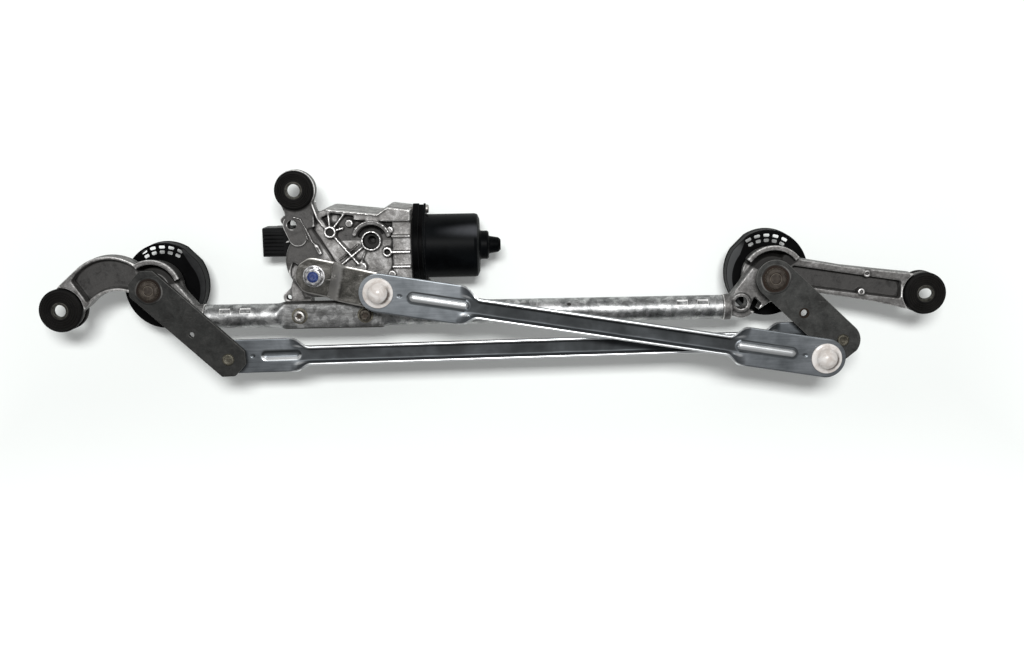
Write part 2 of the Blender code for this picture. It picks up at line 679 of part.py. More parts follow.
def right_crank(frame):
    body = Body("right_crank_axis", frame.empty, (*RIGHT_PIVOT, 0.0))
    rear = polar(REAR_STUD_REACH, REAR_STUD_ANGLE)
    front = polar(FRONT_STUD_REACH, FRONT_STUD_ANGLE)
    outline = hull([(0.0, 0.0, RIGHT_LEVER_HALF), (*rear, RIGHT_LEVER_HALF - 0.0012),
                    (*front, RIGHT_LEVER_HALF - 0.0022)], SMALL)
    eyelet = polar(LEVER_EYELET_REACH * 0.755, REAR_STUD_ANGLE - 7.5)
    holes = [circle((0.0, 0.0), SPINDLE_RADIUS + SEAT_GAP)]
    holes += [circle(spot, STUD_SHANK_RADIUS + SEAT_GAP, SMALL) for spot in (rear, front)]
    holes.append(circle(eyelet, LEVER_EYELET_RADIUS, SMALL))
    body.add("right_lever", prism(outline, LEVER_BOTTOM, LEVER_TOP, holes), DARK_STEEL)
    spindle(body, "right", SPINDLE_HEAD_RADIUS + 0.0005)
    turned(body, "right_front_ball_stud", stud_profile(FRONT_BALL_RISE, True), BRIGHT,
           (*front, LEVER_TOP), sides=SMALL)
    turned(body, "right_rear_ball_stud", stud_profile(REAR_BALL_DROP, True), BRIGHT,
           (*rear, LEVER_BOTTOM), (180.0, 0.0, 0.0), SMALL)
    return rear, front


def link_stations(length, plate, half, floor_half, bead):
    # Stations of a pressed link, flat round end plates, folded necks and a channel between them.
    neck_end = plate + LINK_NECK_LENGTH
    bead_end = plate + LINK_BEAD_OVERRUN
    wall = half - floor_half

    def ramp(value, start, run):
        part = min(max((value - start) / run, 0.0), 1.0)
        return part * part * (3.0 - 2.0 * part)

    def station(x):
        reach = min(x, length - x)
        fold = math.radians(90.0) * ramp(reach, plate, LINK_NECK_LENGTH)
        lift = bead * ramp(reach, LINK_BEAD_START, LINK_BEAD_RAMP)
        lift *= 1.0 - ramp(reach, bead_end - LINK_BEAD_RAMP, LINK_BEAD_RAMP)
        shrink = 1.0
        if reach < 0.0:
            shrink = max(math.sqrt(max(1.0 - (reach / half) ** 2, 0.0)), 0.22)
        across = []
        side = wall * math.cos(fold)
        rise = wall * math.sin(fold)
        for y, z in ((floor_half + side, rise), (floor_half, 0.0), (LINK_BEAD_HALF, 0.0),
                     (LINK_BEAD_HALF * 0.45, lift)):
            across.append((y * shrink, z))
        mirrored = [(-y, z) for y, z in across[::-1]]
        return [(x, y, z) for y, z in across + mirrored]

    ends = [-half * math.cos(math.radians(turn)) for turn in (0.0, 30.0, 60.0, 90.0)]
    inner = [LINK_BEAD_START, LINK_BEAD_START + LINK_BEAD_RAMP]
    inner += [plate + LINK_NECK_LENGTH * part for part in (0.0, 0.25, 0.5, 0.75, 1.0)]
    reaches = sorted(ends + inner)
    places = reaches + [neck_end + (length - 2 * neck_end) * part for part in (0.33, 0.67)]
    places += [length - reach for reach in reaches[::-1]]
    return [station(x) for x in places]


def pressed_link(body, name, length, plate, half, floor_half, bead, plate_bottom):
    mesh = sheet_mesh(link_stations(length, plate, half, floor_half, bead))
    piece = body.add(name, mesh, ZINC, (0.0, 0.0, plate_bottom))
    thicken(piece, LINK_SHEET, -1.0)
    for end, x in (("near", 0.0), ("far", length)):
        through_hole(body, piece, f"{name}_{end}_hole", (x, 0.0), SOCKET_BODY_RADIUS + SEAT_GAP,
                     plate_bottom - PAST, plate_bottom + LINK_SHEET + PAST, ROUND, 7.0)
    return piece


def drive_link(frame, near, far):
    # From the motor crank to the right lever's front stud; its body turns about the right stud.
    span = Vector(near) - Vector(far)
    turn = math.degrees(math.atan2(span.y, span.x))
    body = Body("drive_link_axis", frame.empty, (*far, 0.0), turn)
    length = span.length
    pressed_link(body, "drive_link", length, DRIVE_PLATE_LENGTH, DRIVE_LINK_HALF, DRIVE_FLOOR_HALF,
                 LINK_BEAD_HEIGHT, FRONT_BALL_Z - LINK_SHEET)
    for name, x in (("drive_link_right_socket", 0.0), ("drive_link_motor_socket", length)):
        turned(body, name, socket_profile(), NYLON, (x, 0.0, FRONT_BALL_Z), sides=RING_SIDES)
    turned(body, "motor_ball_stud", stud_profile(FRONT_BALL_RISE, False), BRIGHT,
           (length, 0.0, CRANK_TOP), sides=SMALL)


def tie_link(frame, near, far):
    # From the right lever's rear stud to the left lever's stud, behind both levers.
    span = Vector(near) - Vector(far)
    turn = math.degrees(math.atan2(span.y, span.x))
    body = Body("tie_link_axis", frame.empty, (*far, 0.0), turn)
    length = span.length
    pressed_link(body, "tie_link", length, TIE_PLATE_LENGTH, TIE_LINK_HALF, TIE_FLOOR_HALF,
                 -LINK_BEAD_HEIGHT, REAR_BALL_Z)
    for name, x in (("tie_link_right_socket", 0.0), ("tie_link_left_socket", length)):
        turned(body, name, socket_profile(), BLACK_PLASTIC, (x, 0.0, REAR_BALL_Z), (180.0, 0.0, 0.0),
               RING_SIDES)
    turned(body, "left_ball_stud", stud_profile(REAR_BALL_DROP, False), BRIGHT,
           (length, 0.0, LEVER_BOTTOM), (180.0, 0.0, 0.0), SMALL)


def motor_crank(frame):
    body = Body("motor_crank_axis", frame.empty, (*OUTPUT_AXIS, 0.0), CRANK_ANGLE)
    rise = CRANK_TOP - CRANK_SHEET - CRANK_HUB_BOTTOM
    tail = CRANK_REACH + CRANK_HALF
    bend_end = CRANK_BEND_START + CRANK_BEND_LENGTH

    def half_width(x):
        beyond = max(-x, x - CRANK_REACH, 0.0)
        return CRANK_HALF * max(math.sqrt(max(1.0 - (beyond / CRANK_HALF) ** 2, 0.0)), 0.25)

    round_end = [CRANK_HALF * math.sin(math.radians(turn)) for turn in (0.0, 25.0, 50.0, 72.0, 90.0)]
    places = [-reach for reach in round_end[::-1]] + [CRANK_BEND_START, bend_end]
    places += [tail - CRANK_HALF + reach for reach in round_end]
    stations = []
    for x in places:
        lift = rise * min(max((x - CRANK_BEND_START) / CRANK_BEND_LENGTH, 0.0), 1.0)
        half = half_width(x)
        stations.append([(x, half, lift), (x, -half, lift)])
    arm = body.add("motor_crank_arm", sheet_mesh(stations), OLIVE, (0.0, 0.0, CRANK_HUB_BOTTOM))
    thicken(arm, CRANK_SHEET, -1.0)
    hub_top = CRANK_HUB_BOTTOM + CRANK_SHEET
    seat_radius = OUTPUT_SHAFT_RADIUS - 0.0008
    through_hole(body, arm, "crank_shaft_hole", (0.0, 0.0), seat_radius + SEAT_GAP,
                 CRANK_HUB_BOTTOM - PAST, hub_top + PAST)
    through_hole(body, arm, "crank_stud_hole", (CRANK_REACH, 0.0), STUD_SHANK_RADIUS + SEAT_GAP,
                 CRANK_TOP - CRANK_SHEET - PAST, CRANK_TOP + PAST)
    turned(body, "motor_stud_rivet", rivet_profile(CRANK_SHEET), BRIGHT, (CRANK_REACH, 0.0, CRANK_TOP),
           sides=SMALL)
    nut_bottom = hub_top + SEAT_GAP
    nut = turned(body, "crank_nut", [
        (NUT_FLANGE_RADIUS, nut_bottom + NUT_FLANGE_HEIGHT), (NUT_FLANGE_RADIUS, nut_bottom),
        (OUTPUT_THREAD_RADIUS + SEAT_GAP, nut_bottom),
        (OUTPUT_THREAD_RADIUS + SEAT_GAP, nut_bottom + NUT_FLANGE_HEIGHT)], BRIGHT, sides=ROUND)
    hexagon = prism(circle((0.0, 0.0), NUT_ACROSS_FLATS / 2 / math.cos(math.radians(30.0)), 6),
                    nut_bottom + NUT_FLANGE_HEIGHT * 0.5, nut_bottom + NUT_FLANGE_HEIGHT + NUT_HEIGHT,
                    [circle((0.0, 0.0), OUTPUT_THREAD_RADIUS + SEAT_GAP * 1.1)])
    join(nut, body.tool("nut_hexagon", hexagon))
    gear_low = MOTOR_AXIS_Z - GEAR_FACE / 2
    shoulder = gear_low + GEAR_FACE + SEAT_GAP
    hub_bottom = CRANK_HUB_BOTTOM - SEAT_GAP
    turned(body, "output_shaft", [
        (0.0, nut_bottom + NUT_FLANGE_HEIGHT + NUT_HEIGHT + 0.0014),
        (OUTPUT_THREAD_RADIUS, nut_bottom + NUT_FLANGE_HEIGHT + NUT_HEIGHT + 0.0014),
        (OUTPUT_THREAD_RADIUS, hub_top - 0.0005), (seat_radius, hub_top - 0.0005), (seat_radius, hub_bottom),
        (OUTPUT_SHAFT_RADIUS, hub_bottom), (OUTPUT_SHAFT_RADIUS, shoulder + 0.0015),
        (OUTPUT_SHAFT_RADIUS + 0.0030, shoulder + 0.0015), (OUTPUT_SHAFT_RADIUS + 0.0030, shoulder),
        (OUTPUT_SHAFT_RADIUS, shoulder), (OUTPUT_SHAFT_RADIUS, gear_low - 0.0040), (0.0, gear_low - 0.0040)],
        BRIGHT, sides=SMALL)
    worm_wheel(body, gear_low)


def worm_lead():
    return 2.0 * math.pi * GEAR_PITCH_RADIUS / GEAR_TEETH


def worm_wheel(body, bottom):
    # Helical teeth, thinner than their spaces, with one space facing the worm at rest.
    pitch = 360.0 / GEAR_TEETH
    slope = math.tan(math.radians(FLANK_ANGLE))
    half = worm_lead() * TOOTH_SHARE / 2
    tip = (GEAR_PITCH_RADIUS + GEAR_ADDENDUM, half - GEAR_ADDENDUM * slope)
    root = (GEAR_PITCH_RADIUS - GEAR_DEDENDUM, half + GEAR_DEDENDUM * slope)
    first = 90.0 - CRANK_ANGLE + pitch / 2
    outline = []
    for tooth in range(GEAR_TEETH):
        for side, (radius, width) in ((-1, root), (-1, tip), (1, tip), (1, root)):
            outline.append(polar(radius, first + tooth * pitch + side * math.degrees(width / radius)))
    mesh = prism(outline, bottom, bottom + GEAR_FACE, [circle((0.0, 0.0), OUTPUT_SHAFT_RADIUS + SEAT_GAP)])
    lead_slope = worm_lead() / (2.0 * math.pi * WORM_PITCH_RADIUS)
    for vertex in mesh.vertices:
        twist = (vertex.co.z - MOTOR_AXIS_Z) * lead_slope / GEAR_PITCH_RADIUS
        x, y = vertex.co.x, vertex.co.y
        vertex.co.x = x * math.cos(twist) - y * math.sin(twist)
        vertex.co.y = x * math.sin(twist) + y * math.cos(twist)
    body.add("worm_wheel", mesh, NYLON)


def worm_thread():
    # Trapezoid carried along a helix about Z, with flat ends, its root sunk into the shaft.
    pitch = worm_lead()
    slope = math.tan(math.radians(FLANK_ANGLE))
    half = pitch * TOOTH_SHARE / 2
    tip_radius = WORM_PITCH_RADIUS + GEAR_ADDENDUM
    base_radius = WORM_ROOT_RADIUS - 0.0006
    tip_half = half - GEAR_ADDENDUM * slope
    base_half = half + (WORM_PITCH_RADIUS - base_radius) * slope
    section = ((base_radius, -base_half), (tip_radius, -tip_half),
               (tip_radius, tip_half), (base_radius, base_half))
    steps = WORM_TURNS * 9
    work = bmesh.new()
    rings = []
    for i in range(steps + 1):
        turn = WORM_TURNS * (i / steps - 0.5)
        angle = 2.0 * math.pi * turn - math.pi / 2
        rings.append([work.verts.new((r * math.cos(angle), r * math.sin(angle), turn * pitch + z))
                      for r, z in section])
    for low, high in zip(rings, rings[1:]):
        for k in range(4):
            work.faces.new((low[k], low[(k + 1) % 4], high[(k + 1) % 4], high[k]))
    work.faces.new(rings[0])
    work.faces.new(rings[-1][::-1])
    bmesh.ops.recalc_face_normals(work, faces=work.faces)
    mesh = bpy.data.meshes.new("worm_thread")
    work.to_mesh(mesh)
    work.free()
    return mesh


def armature(frame):
    # Worm shaft, core and commutator turn about the motor axis, which runs along X.
    body = Body("armature_axis", frame.empty, (OUTPUT_AXIS[0], WORM_Y, MOTOR_AXIS_Z))
    along = (0.0, 90.0, 0.0)
    core_start = YOKE_FACE_X + 0.0130 - OUTPUT_AXIS[0]
    core_end = core_start + ARMATURE_LENGTH
    shaft_end = YOKE_FACE_X + YOKE_LENGTH + YOKE_BOSS_LENGTH - OUTPUT_AXIS[0]
    worm_half = worm_lead() * (WORM_TURNS + 1) / 2
    nose = -worm_half - 0.0035
    shaft = turned(body, "armature_shaft", [
        (0.0, shaft_end), (ARMATURE_SHAFT_RADIUS, shaft_end), (ARMATURE_SHAFT_RADIUS, worm_half + 0.004),
        (WORM_ROOT_RADIUS, worm_half + PAST), (WORM_ROOT_RADIUS, -worm_half),
        (ARMATURE_SHAFT_RADIUS - 0.0005, -worm_half), (ARMATURE_SHAFT_RADIUS - 0.0005, nose), (0.0, nose)],
        BRIGHT, rotation=along, sides=SMALL)
    # At the side facing the wheel the thread stands on the wheel's centre line.
    join(shaft, body.tool("worm_thread", worm_thread(), rotation=(0.0, 90.0, 0.0)))
    core_radius = YOKE_RADIUS - YOKE_WALL - SEAT_GAP - MAGNET_THICKNESS - ARMATURE_GAP
    bore = ARMATURE_SHAFT_RADIUS + SEAT_GAP
    turned(body, "armature_core", [
        (core_radius, core_end), (core_radius, core_start), (bore, core_start), (bore, core_end)],
        DARK_STEEL, rotation=along)
    ring_end = core_start - SEAT_GAP
    ring_start = ring_end - COMMUTATOR_LENGTH
    turned(body, "commutator", [
        (COMMUTATOR_RADIUS, ring_end), (COMMUTATOR_RADIUS, ring_start), (bore, ring_start), (bore, ring_end)],
        BRONZE, rotation=along, sides=SMALL)


def frame_tube(frame):
    # Round tube, pressed flat where the motor is screwed on.
    def section(x, flat):
        points = []
        width = TUBE_RADIUS + (FLAT_HALF_WIDTH - TUBE_RADIUS) * flat
        height = TUBE_RADIUS + (FLAT_HALF_HEIGHT - TUBE_RADIUS) * flat
        power = 1.0 - 0.45 * flat
        for i in range(ROUND):
            angle = 2.0 * math.pi * (i + 0.5) / ROUND
            side, up = math.cos(angle), math.sin(angle)
            points.append((x, width * math.copysign(abs(side) ** power, side),
                           height * math.copysign(abs(up) ** power, up)))
        return points

    places = [(TUBE_LEFT_END, 0.0), (FLAT_LEFT - FLAT_RAMP, 0.0), (FLAT_LEFT - FLAT_RAMP * 0.5, 0.5),
              (FLAT_LEFT, 1.0), (FLAT_RIGHT, 1.0), (FLAT_RIGHT + FLAT_RAMP * 0.5, 0.5),
              (FLAT_RIGHT + FLAT_RAMP, 0.0), (TUBE_RIGHT_END, 0.0)]
    stations = []
    for x, flat in places:
        ring = section(x, flat)
        stations.append(ring + ring[:1])
    mesh = welded(sheet_mesh(stations))
    tube = frame.add("frame_tube", mesh, GALVANISED, (0.0, TUBE_AXIS_Y, TUBE_AXIS_Z))
    thicken(tube, TUBE_WALL, -1.0)
    for name, x in (("left", TUBE_SCREW_LEFT_X), ("right", TUBE_SCREW_RIGHT_X)):
        through_hole(frame, tube, f"tube_{name}_screw_hole", (x, TUBE_AXIS_Y), SCREW_RADIUS + SEAT_GAP,
                     TUBE_AXIS_Z - TUBE_RADIUS, TUBE_AXIS_Z + TUBE_RADIUS)
    drill = cylinder(TUBE_HOLE_RADIUS, 0.0, TUBE_RADIUS + PAST, SMALL)
    spot = (TUBE_LEFT_END + TUBE_HOLE_INSET, TUBE_AXIS_Y, TUBE_AXIS_Z)
    cut(tube, frame.tool("tube_small_hole", drill, spot, (-TUBE_HOLE_TILT, 0.0, 0.0)))
    # Rectangular crimps pressed into the tube over the housing spigots.
    for end, start, way in (("left", TUBE_LEFT_END, 1), ("right", TUBE_RIGHT_END, -1)):
        for k in range(2):
            x = start + way * (CRIMP_INSET + k * CRIMP_PITCH)
            pocket = box((-CRIMP_LENGTH / 2, -CRIMP_WIDTH / 2, TUBE_RADIUS - CRIMP_DEPTH),
                         (CRIMP_LENGTH / 2, CRIMP_WIDTH / 2, TUBE_RADIUS + PAST))
            cut(tube, frame.tool(f"{end}_crimp_{k}", pocket, (x, TUBE_AXIS_Y, TUBE_AXIS_Z),
                                 (-CRIMP_TILT, 0.0, 0.0)))


def pivot_sleeve(frame, name, pivot):
    # Turned core of a housing: bearing sleeve, floor under the lever and the seat of the cover.
    floor_radius = LEFT_GUARD_RADIUS + GUARD_WALL * 0.5
    return turned(frame, name, [
        (0.0, SLEEVE_TOP), (SLEEVE_RADIUS - 0.0015, SLEEVE_TOP), (SLEEVE_RADIUS, SLEEVE_TOP - 0.0060),
        (COLLAR_RADIUS, FLOOR_TOP), (floor_radius, FLOOR_TOP), (floor_radius, FLOOR_BOTTOM),
        (COLLAR_RADIUS, FLOOR_BOTTOM), (COLLAR_RADIUS, COLLAR_BOTTOM), (SLEEVE_RADIUS, COLLAR_BOTTOM),
        (SLEEVE_RADIUS - 0.001, SLEEVE_BOTTOM), (0.0, SLEEVE_BOTTOM)], CAST, (*pivot, 0.0))


def pivot_bushes(frame, side, pivot):
    bore = bore_of(SPINDLE_RADIUS + RUN_GAP)
    for name, bottom in (("upper", SLEEVE_TOP - BUSH_LENGTH), ("lower", SLEEVE_BOTTOM)):
        turned(frame, f"{side}_{name}_bush", [
            (BUSH_RADIUS, bottom + BUSH_LENGTH), (BUSH_RADIUS, bottom), (bore, bottom),
            (bore, bottom + BUSH_LENGTH)], BRONZE, (*pivot, 0.0), sides=SMALL)


def guard_outline(radius, span):
    inner = arc((0.0, 0.0), radius, span[0], span[1], 12.0)
    outer = arc((0.0, 0.0), radius + GUARD_WALL, span[1], span[0], 12.0)
    return inner + outer


def mount_eye(frame, piece, name, eye):
    ring = prism(circle((0.0, 0.0), EYE_RING_RADIUS), EYE_BOTTOM, EYE_TOP)
    join(piece, frame.tool(f"{name}_eye_ring", ring, (*eye, 0.0)))
    tidy(piece)
    through_hole(frame, piece, f"{name}_eye_hole", eye, EYE_HOLE_RADIUS, EYE_BOTTOM - 0.02, ARM_TOP + 0.02,
                 ROUND)


def clear_above_eye(frame, piece, name, eye, grommet_radius):
    # Room for the grommet's flanges over and under the ring.
    low = EYE_BOTTOM - GROMMET_FLANGE - GROMMET_ROOM
    for side, low, high in (("top", EYE_TOP, ARM_TOP + PAST), ("bottom", low, EYE_BOTTOM)):
        through_hole(frame, piece, f"{name}_eye_{side}_clearance", eye, grommet_radius + SEAT_GAP * 3,
                     low, high, ROUND)


def spigot(frame, piece, side, end, way):
    # Plug into the tube with a shoulder at its end, and the foot plate that carries it.
    root = SHOULDER_LENGTH - PAST
    plug = cylinder(TUBE_RADIUS - TUBE_WALL - SEAT_GAP, 0.0, SPIGOT_LENGTH + root, ROUND)
    start = end - way * root
    join(piece, frame.tool(f"{side}_spigot", plug, (start, TUBE_AXIS_Y, TUBE_AXIS_Z), (0.0, 90.0 * way, 0.0)))
    shoulder = cylinder(TUBE_RADIUS + SHOULDER_RISE, 0.0, SHOULDER_LENGTH, ROUND)
    join(piece, frame.tool(f"{side}_shoulder", shoulder, (end - way * SEAT_GAP, TUBE_AXIS_Y, TUBE_AXIS_Z),
                           (0.0, -90.0 * way, 0.0)))


def pivot_foot(frame, piece, side, pivot, end, way):
    # Plate from the sleeve to the tube, with a round hole and a three-cornered opening.
    hub = (end - way * FOOT_INSET, TUBE_AXIS_Y + FOOT_LIFT)
    plate = hull([(*hub, FOOT_RADIUS), (*pivot, FOOT_ROOT_RADIUS)])
    plate = prism(plate, TUBE_AXIS_Z - FOOT_HALF_THICKNESS, TUBE_AXIS_Z + FOOT_HALF_THICKNESS)
    join(piece, frame.tool(f"{side}_foot", plate))
    spigot(frame, piece, side, end, way)
    through_hole(frame, piece, f"{side}_foot_hole", (hub[0] + way * 0.0005, hub[1] + PAST), FOOT_HOLE_RADIUS,
                 TUBE_AXIS_Z - 0.02, TUBE_AXIS_Z + 0.02)
    window = filleted([(hub[0] + way * x, hub[1] + y, 0.0012) for x, y in FOOT_WINDOW], 45.0)
    cut(piece, frame.tool(f"{side}_foot_window", prism(window, TUBE_AXIS_Z - 0.02, TUBE_AXIS_Z + 0.02)))


def bearing_bore(frame, piece, side, pivot):
    # Stepped bore through the sleeve, wider at both ends for the bushes.
    seat = BUSH_RADIUS + SEAT_GAP
    core = SPINDLE_RADIUS + 0.0012
    beyond = 0.0030
    step = BUSH_LENGTH + SEAT_GAP
    cut(piece, turned_tool(frame, f"{side}_bearing_bore", [
        (0.0, SLEEVE_TOP + beyond), (seat, SLEEVE_TOP + beyond), (seat, SLEEVE_TOP - step),
        (core, SLEEVE_TOP - step), (core, SLEEVE_BOTTOM + step), (seat, SLEEVE_BOTTOM + step),
        (seat, SLEEVE_BOTTOM - beyond), (0.0, SLEEVE_BOTTOM - beyond)], (*pivot, 0.0)))


def left_housing(frame):
    x, y = LEFT_PIVOT
    piece = pivot_sleeve(frame, "left_pivot_housing", LEFT_PIVOT)
    # Arched arm between two arcs that share the eye at one end and the sleeve at the other.
    crown = (x + LEFT_CROWN[0], y + LEFT_CROWN[1])
    belly = (x + LEFT_BELLY[0], y + LEFT_BELLY[1])
    eye_shoulder = polar(EYE_RING_RADIUS - 0.0006, 131.0, LEFT_EYE)
    outline = [eye_shoulder] + arc(crown, LEFT_CROWN_RADIUS, 131.0, 56.0, 12.0)
    outline += [(x - 0.0090, y + 0.0120), (x - 0.0090, y - 0.0090)]
    outline += arc(belly, LEFT_BELLY_RADIUS, 60.0, 141.0, 12.0)
    outline.append((LEFT_EYE[0] + 0.0080, LEFT_EYE[1] - 0.0100))
    join(piece, frame.tool("left_arm", prism(outline, ARM_BOTTOM, ARM_TOP)))
    pocket = arc(crown, LEFT_CROWN_RADIUS - ARM_RIM, 149.0, 62.0, 12.0)
    pocket += arc(belly, LEFT_BELLY_RADIUS + ARM_RIM, 68.0, 138.0, 12.0)
    cut(piece, frame.tool("left_arm_pocket", prism(pocket, ARM_WEB_TOP, ARM_TOP + PAST)))
    guard = prism(guard_outline(LEFT_GUARD_RADIUS, LEFT_GUARD_ARC), FLOOR_BOTTOM + 0.001, GUARD_TOP)
    join(piece, frame.tool("left_guard", guard, (x, y, 0.0)))
    pivot_foot(frame, piece, "left", LEFT_PIVOT, TUBE_LEFT_END, 1)
    mount_eye(frame, piece, "left", LEFT_EYE)
    clear_above_eye(frame, piece, "left", LEFT_EYE, LEFT_GROMMET_RADIUS)
    bearing_bore(frame, piece, "left", LEFT_PIVOT)
    pivot_bushes(frame, "left", LEFT_PIVOT)


def right_housing(frame):
    x, y = RIGHT_PIVOT
    piece = pivot_sleeve(frame, "right_pivot_housing", RIGHT_PIVOT)
    ex, ey = RIGHT_EYE
    # Straight tapering arm with a sunk web between its two rims.
    outline = [
        (x + 0.0080, y + 0.0230), (x + 0.0250, y + 0.0160), (x + 0.0640, y + 0.0088),
        (ex - 0.0428, ey + 0.0224), (ex - 0.0100, ey + 0.0185), (ex, ey + 0.0010), (ex - 0.0120, ey - 0.0157),
        (ex - 0.0470, ey - 0.0070), (x + 0.0440, y - 0.0165), (x + 0.0100, y - 0.0120)]
    join(piece, frame.tool("right_arm", prism(outline, ARM_BOTTOM, ARM_TOP)))
    pocket = filleted([
        (x + 0.0250, y + 0.0082, 0.0015), (ex - 0.0240, ey + 0.0110, 0.0020),
        (ex - 0.0240, ey - 0.0035, 0.0020), (x + 0.0250, y - 0.0068, 0.0015)], 45.0)
    cut(piece, frame.tool("right_arm_pocket", prism(pocket, ARM_WEB_TOP, ARM_TOP + PAST)))
    for k, (dx, dy) in enumerate(ARM_PADS):
        pad = cylinder(ARM_PAD_RADIUS, ARM_BOTTOM + 0.001, ARM_TOP + ARM_PAD_RISE, 12)
        join(piece, frame.tool(f"right_arm_pad_{k}", pad, (ex + dx, ey + dy, 0.0)))
    guard = prism(guard_outline(RIGHT_GUARD_RADIUS, RIGHT_GUARD_ARC), FLOOR_BOTTOM + 0.001, GUARD_TOP)
    join(piece, frame.tool("right_guard", guard, (x, y, 0.0)))
    pivot_foot(frame, piece, "right", RIGHT_PIVOT, TUBE_RIGHT_END, -1)
    mount_eye(frame, piece, "right", RIGHT_EYE)
    clear_above_eye(frame, piece, "right", RIGHT_EYE, RIGHT_GROMMET_RADIUS)
    bearing_bore(frame, piece, "right", RIGHT_PIVOT)
    pivot_bushes(frame, "right", RIGHT_PIVOT)


def pivot_cover(frame, side, pivot, way):
    # Cup open to the wiper side, with a flat on its wall and a grille in its closed end.
    def outline(radius, flat):
        half = math.degrees(math.acos(flat / radius))
        middle = 90.0 - way * COVER_FLAT_TURN
        round_part = arc((0.0, 0.0), radius, middle + half, middle + 360.0 - half, 11.25)
        return [(x * COVER_NARROW, y + COVER_SHIFT) for x, y in round_part]

    top = COLLAR_BOTTOM - SEAT_GAP
    hub = SLEEVE_RADIUS + SEAT_GAP
    body = prism(outline(COVER_RADIUS, COVER_FLAT), COVER_RIM_Z, top)
    cover = frame.add(f"{side}_cover", body, BLACK_PLASTIC, (*pivot, 0.0))
    hollow = prism(outline(COVER_RADIUS - COVER_WALL, COVER_FLAT - COVER_WALL), COVER_RIM_Z - PAST,
                   top - COVER_WALL)
    cut(cover, frame.tool(f"{side}_cover_hollow", hollow, (*pivot, 0.0)))
    neck = cylinder(hub + COVER_WALL, top - COVER_HUB_LENGTH, top - COVER_WALL / 2)
    join(cover, frame.tool(f"{side}_cover_hub", neck, (*pivot, 0.0)))
    through_hole(frame, cover, f"{side}_cover_bore", pivot, hub, COVER_RIM_Z - 0.004, top + PAST, ROUND)
    for row, (inner, outer) in enumerate(GRILLE_ROWS):
        for column in range(GRILLE_COLUMNS):
            middle = 90.0 + (column - (GRILLE_COLUMNS - 1) / 2) * GRILLE_PITCH
            low, high = middle - GRILLE_WINDOW / 2, middle + GRILLE_WINDOW / 2
            window = arc((0.0, 0.0), inner, low, high, 12.0) + arc((0.0, 0.0), outer, high, low, 12.0)
            name = f"{side}_window_{row}_{column}"
            cut(cover, frame.tool(name, prism(window, top - COVER_WALL - PAST, top + PAST), (*pivot, 0.0)))


def grommet(frame, side, eye, radius):
    low, high = EYE_BOTTOM - SEAT_GAP, EYE_TOP + SEAT_GAP
    waist = EYE_HOLE_RADIUS - SEAT_GAP
    bore = SPACER_RADIUS + SEAT_GAP
    soft = GROMMET_FLANGE / 5
    turned(frame, f"{side}_grommet", [
        (radius - soft, high + GROMMET_FLANGE), (radius, high + GROMMET_FLANGE - soft), (radius, high),
        (waist, high), (waist, low), (radius, low), (radius, low - GROMMET_FLANGE + soft),
        (radius - soft, low - GROMMET_FLANGE), (bore, low - GROMMET_FLANGE), (bore, high + GROMMET_FLANGE)],
        RUBBER, (*eye, 0.0))
    inner = SPACER_RADIUS - SPACER_WALL
    top, bottom = high + GROMMET_FLANGE + 0.0004, low - GROMMET_FLANGE - 0.0004
    turned(frame, f"{side}_spacer", [
        (SPACER_RADIUS, top), (SPACER_RADIUS, bottom), (inner, bottom), (inner, top)],
        DARK_STEEL, (*eye, 0.0), sides=RING_SIDES)


def case_point(place):
    return (OUTPUT_AXIS[0] + place[0], OUTPUT_AXIS[1] + place[1])


def case_round(inset, span):
    return [(x, y, 0.0) for x, y in arc(case_point(CASE_ROUND_PLACE), CASE_ROUND_RADIUS - inset, *span, 12.0)]


def case_outline(inset=0.0):
    # Plan of the gear case: round over the worm wheel, long over the worm.
    ox, oy = OUTPUT_AXIS
    right, front, rear = CASE_RIGHT_X - inset, oy - CASE_FRONT + inset, oy + CASE_REAR - inset
    crest = [(ox + x, oy + y - inset, radius) for (x, y), radius in (
        (CASE_PEAK, 0.003), (CASE_DIP, 0.004), (CASE_CREST, 0.006), (CASE_SHOULDER, 0.006))]
    corners = [(ox - CASE_FRONT_CORNER, front, 0.003), (right, front, 0.003), (right, rear, 0.002)] + crest
    return filleted(corners + case_round(inset, CASE_ROUND_ARC))


def rib(frame, piece, name, start, end, bottom, top, width=RIB_WIDTH):
    across = Vector((end[0] - start[0], end[1] - start[1])).normalized().orthogonal() * (width / 2)
    (ax, ay), (bx, by) = start, end
    outline = [(ax + across.x, ay + across.y), (ax - across.x, ay - across.y),
               (bx - across.x, by - across.y), (bx + across.x, by + across.y)]
    join(piece, frame.tool(name, prism(outline, bottom, top)))


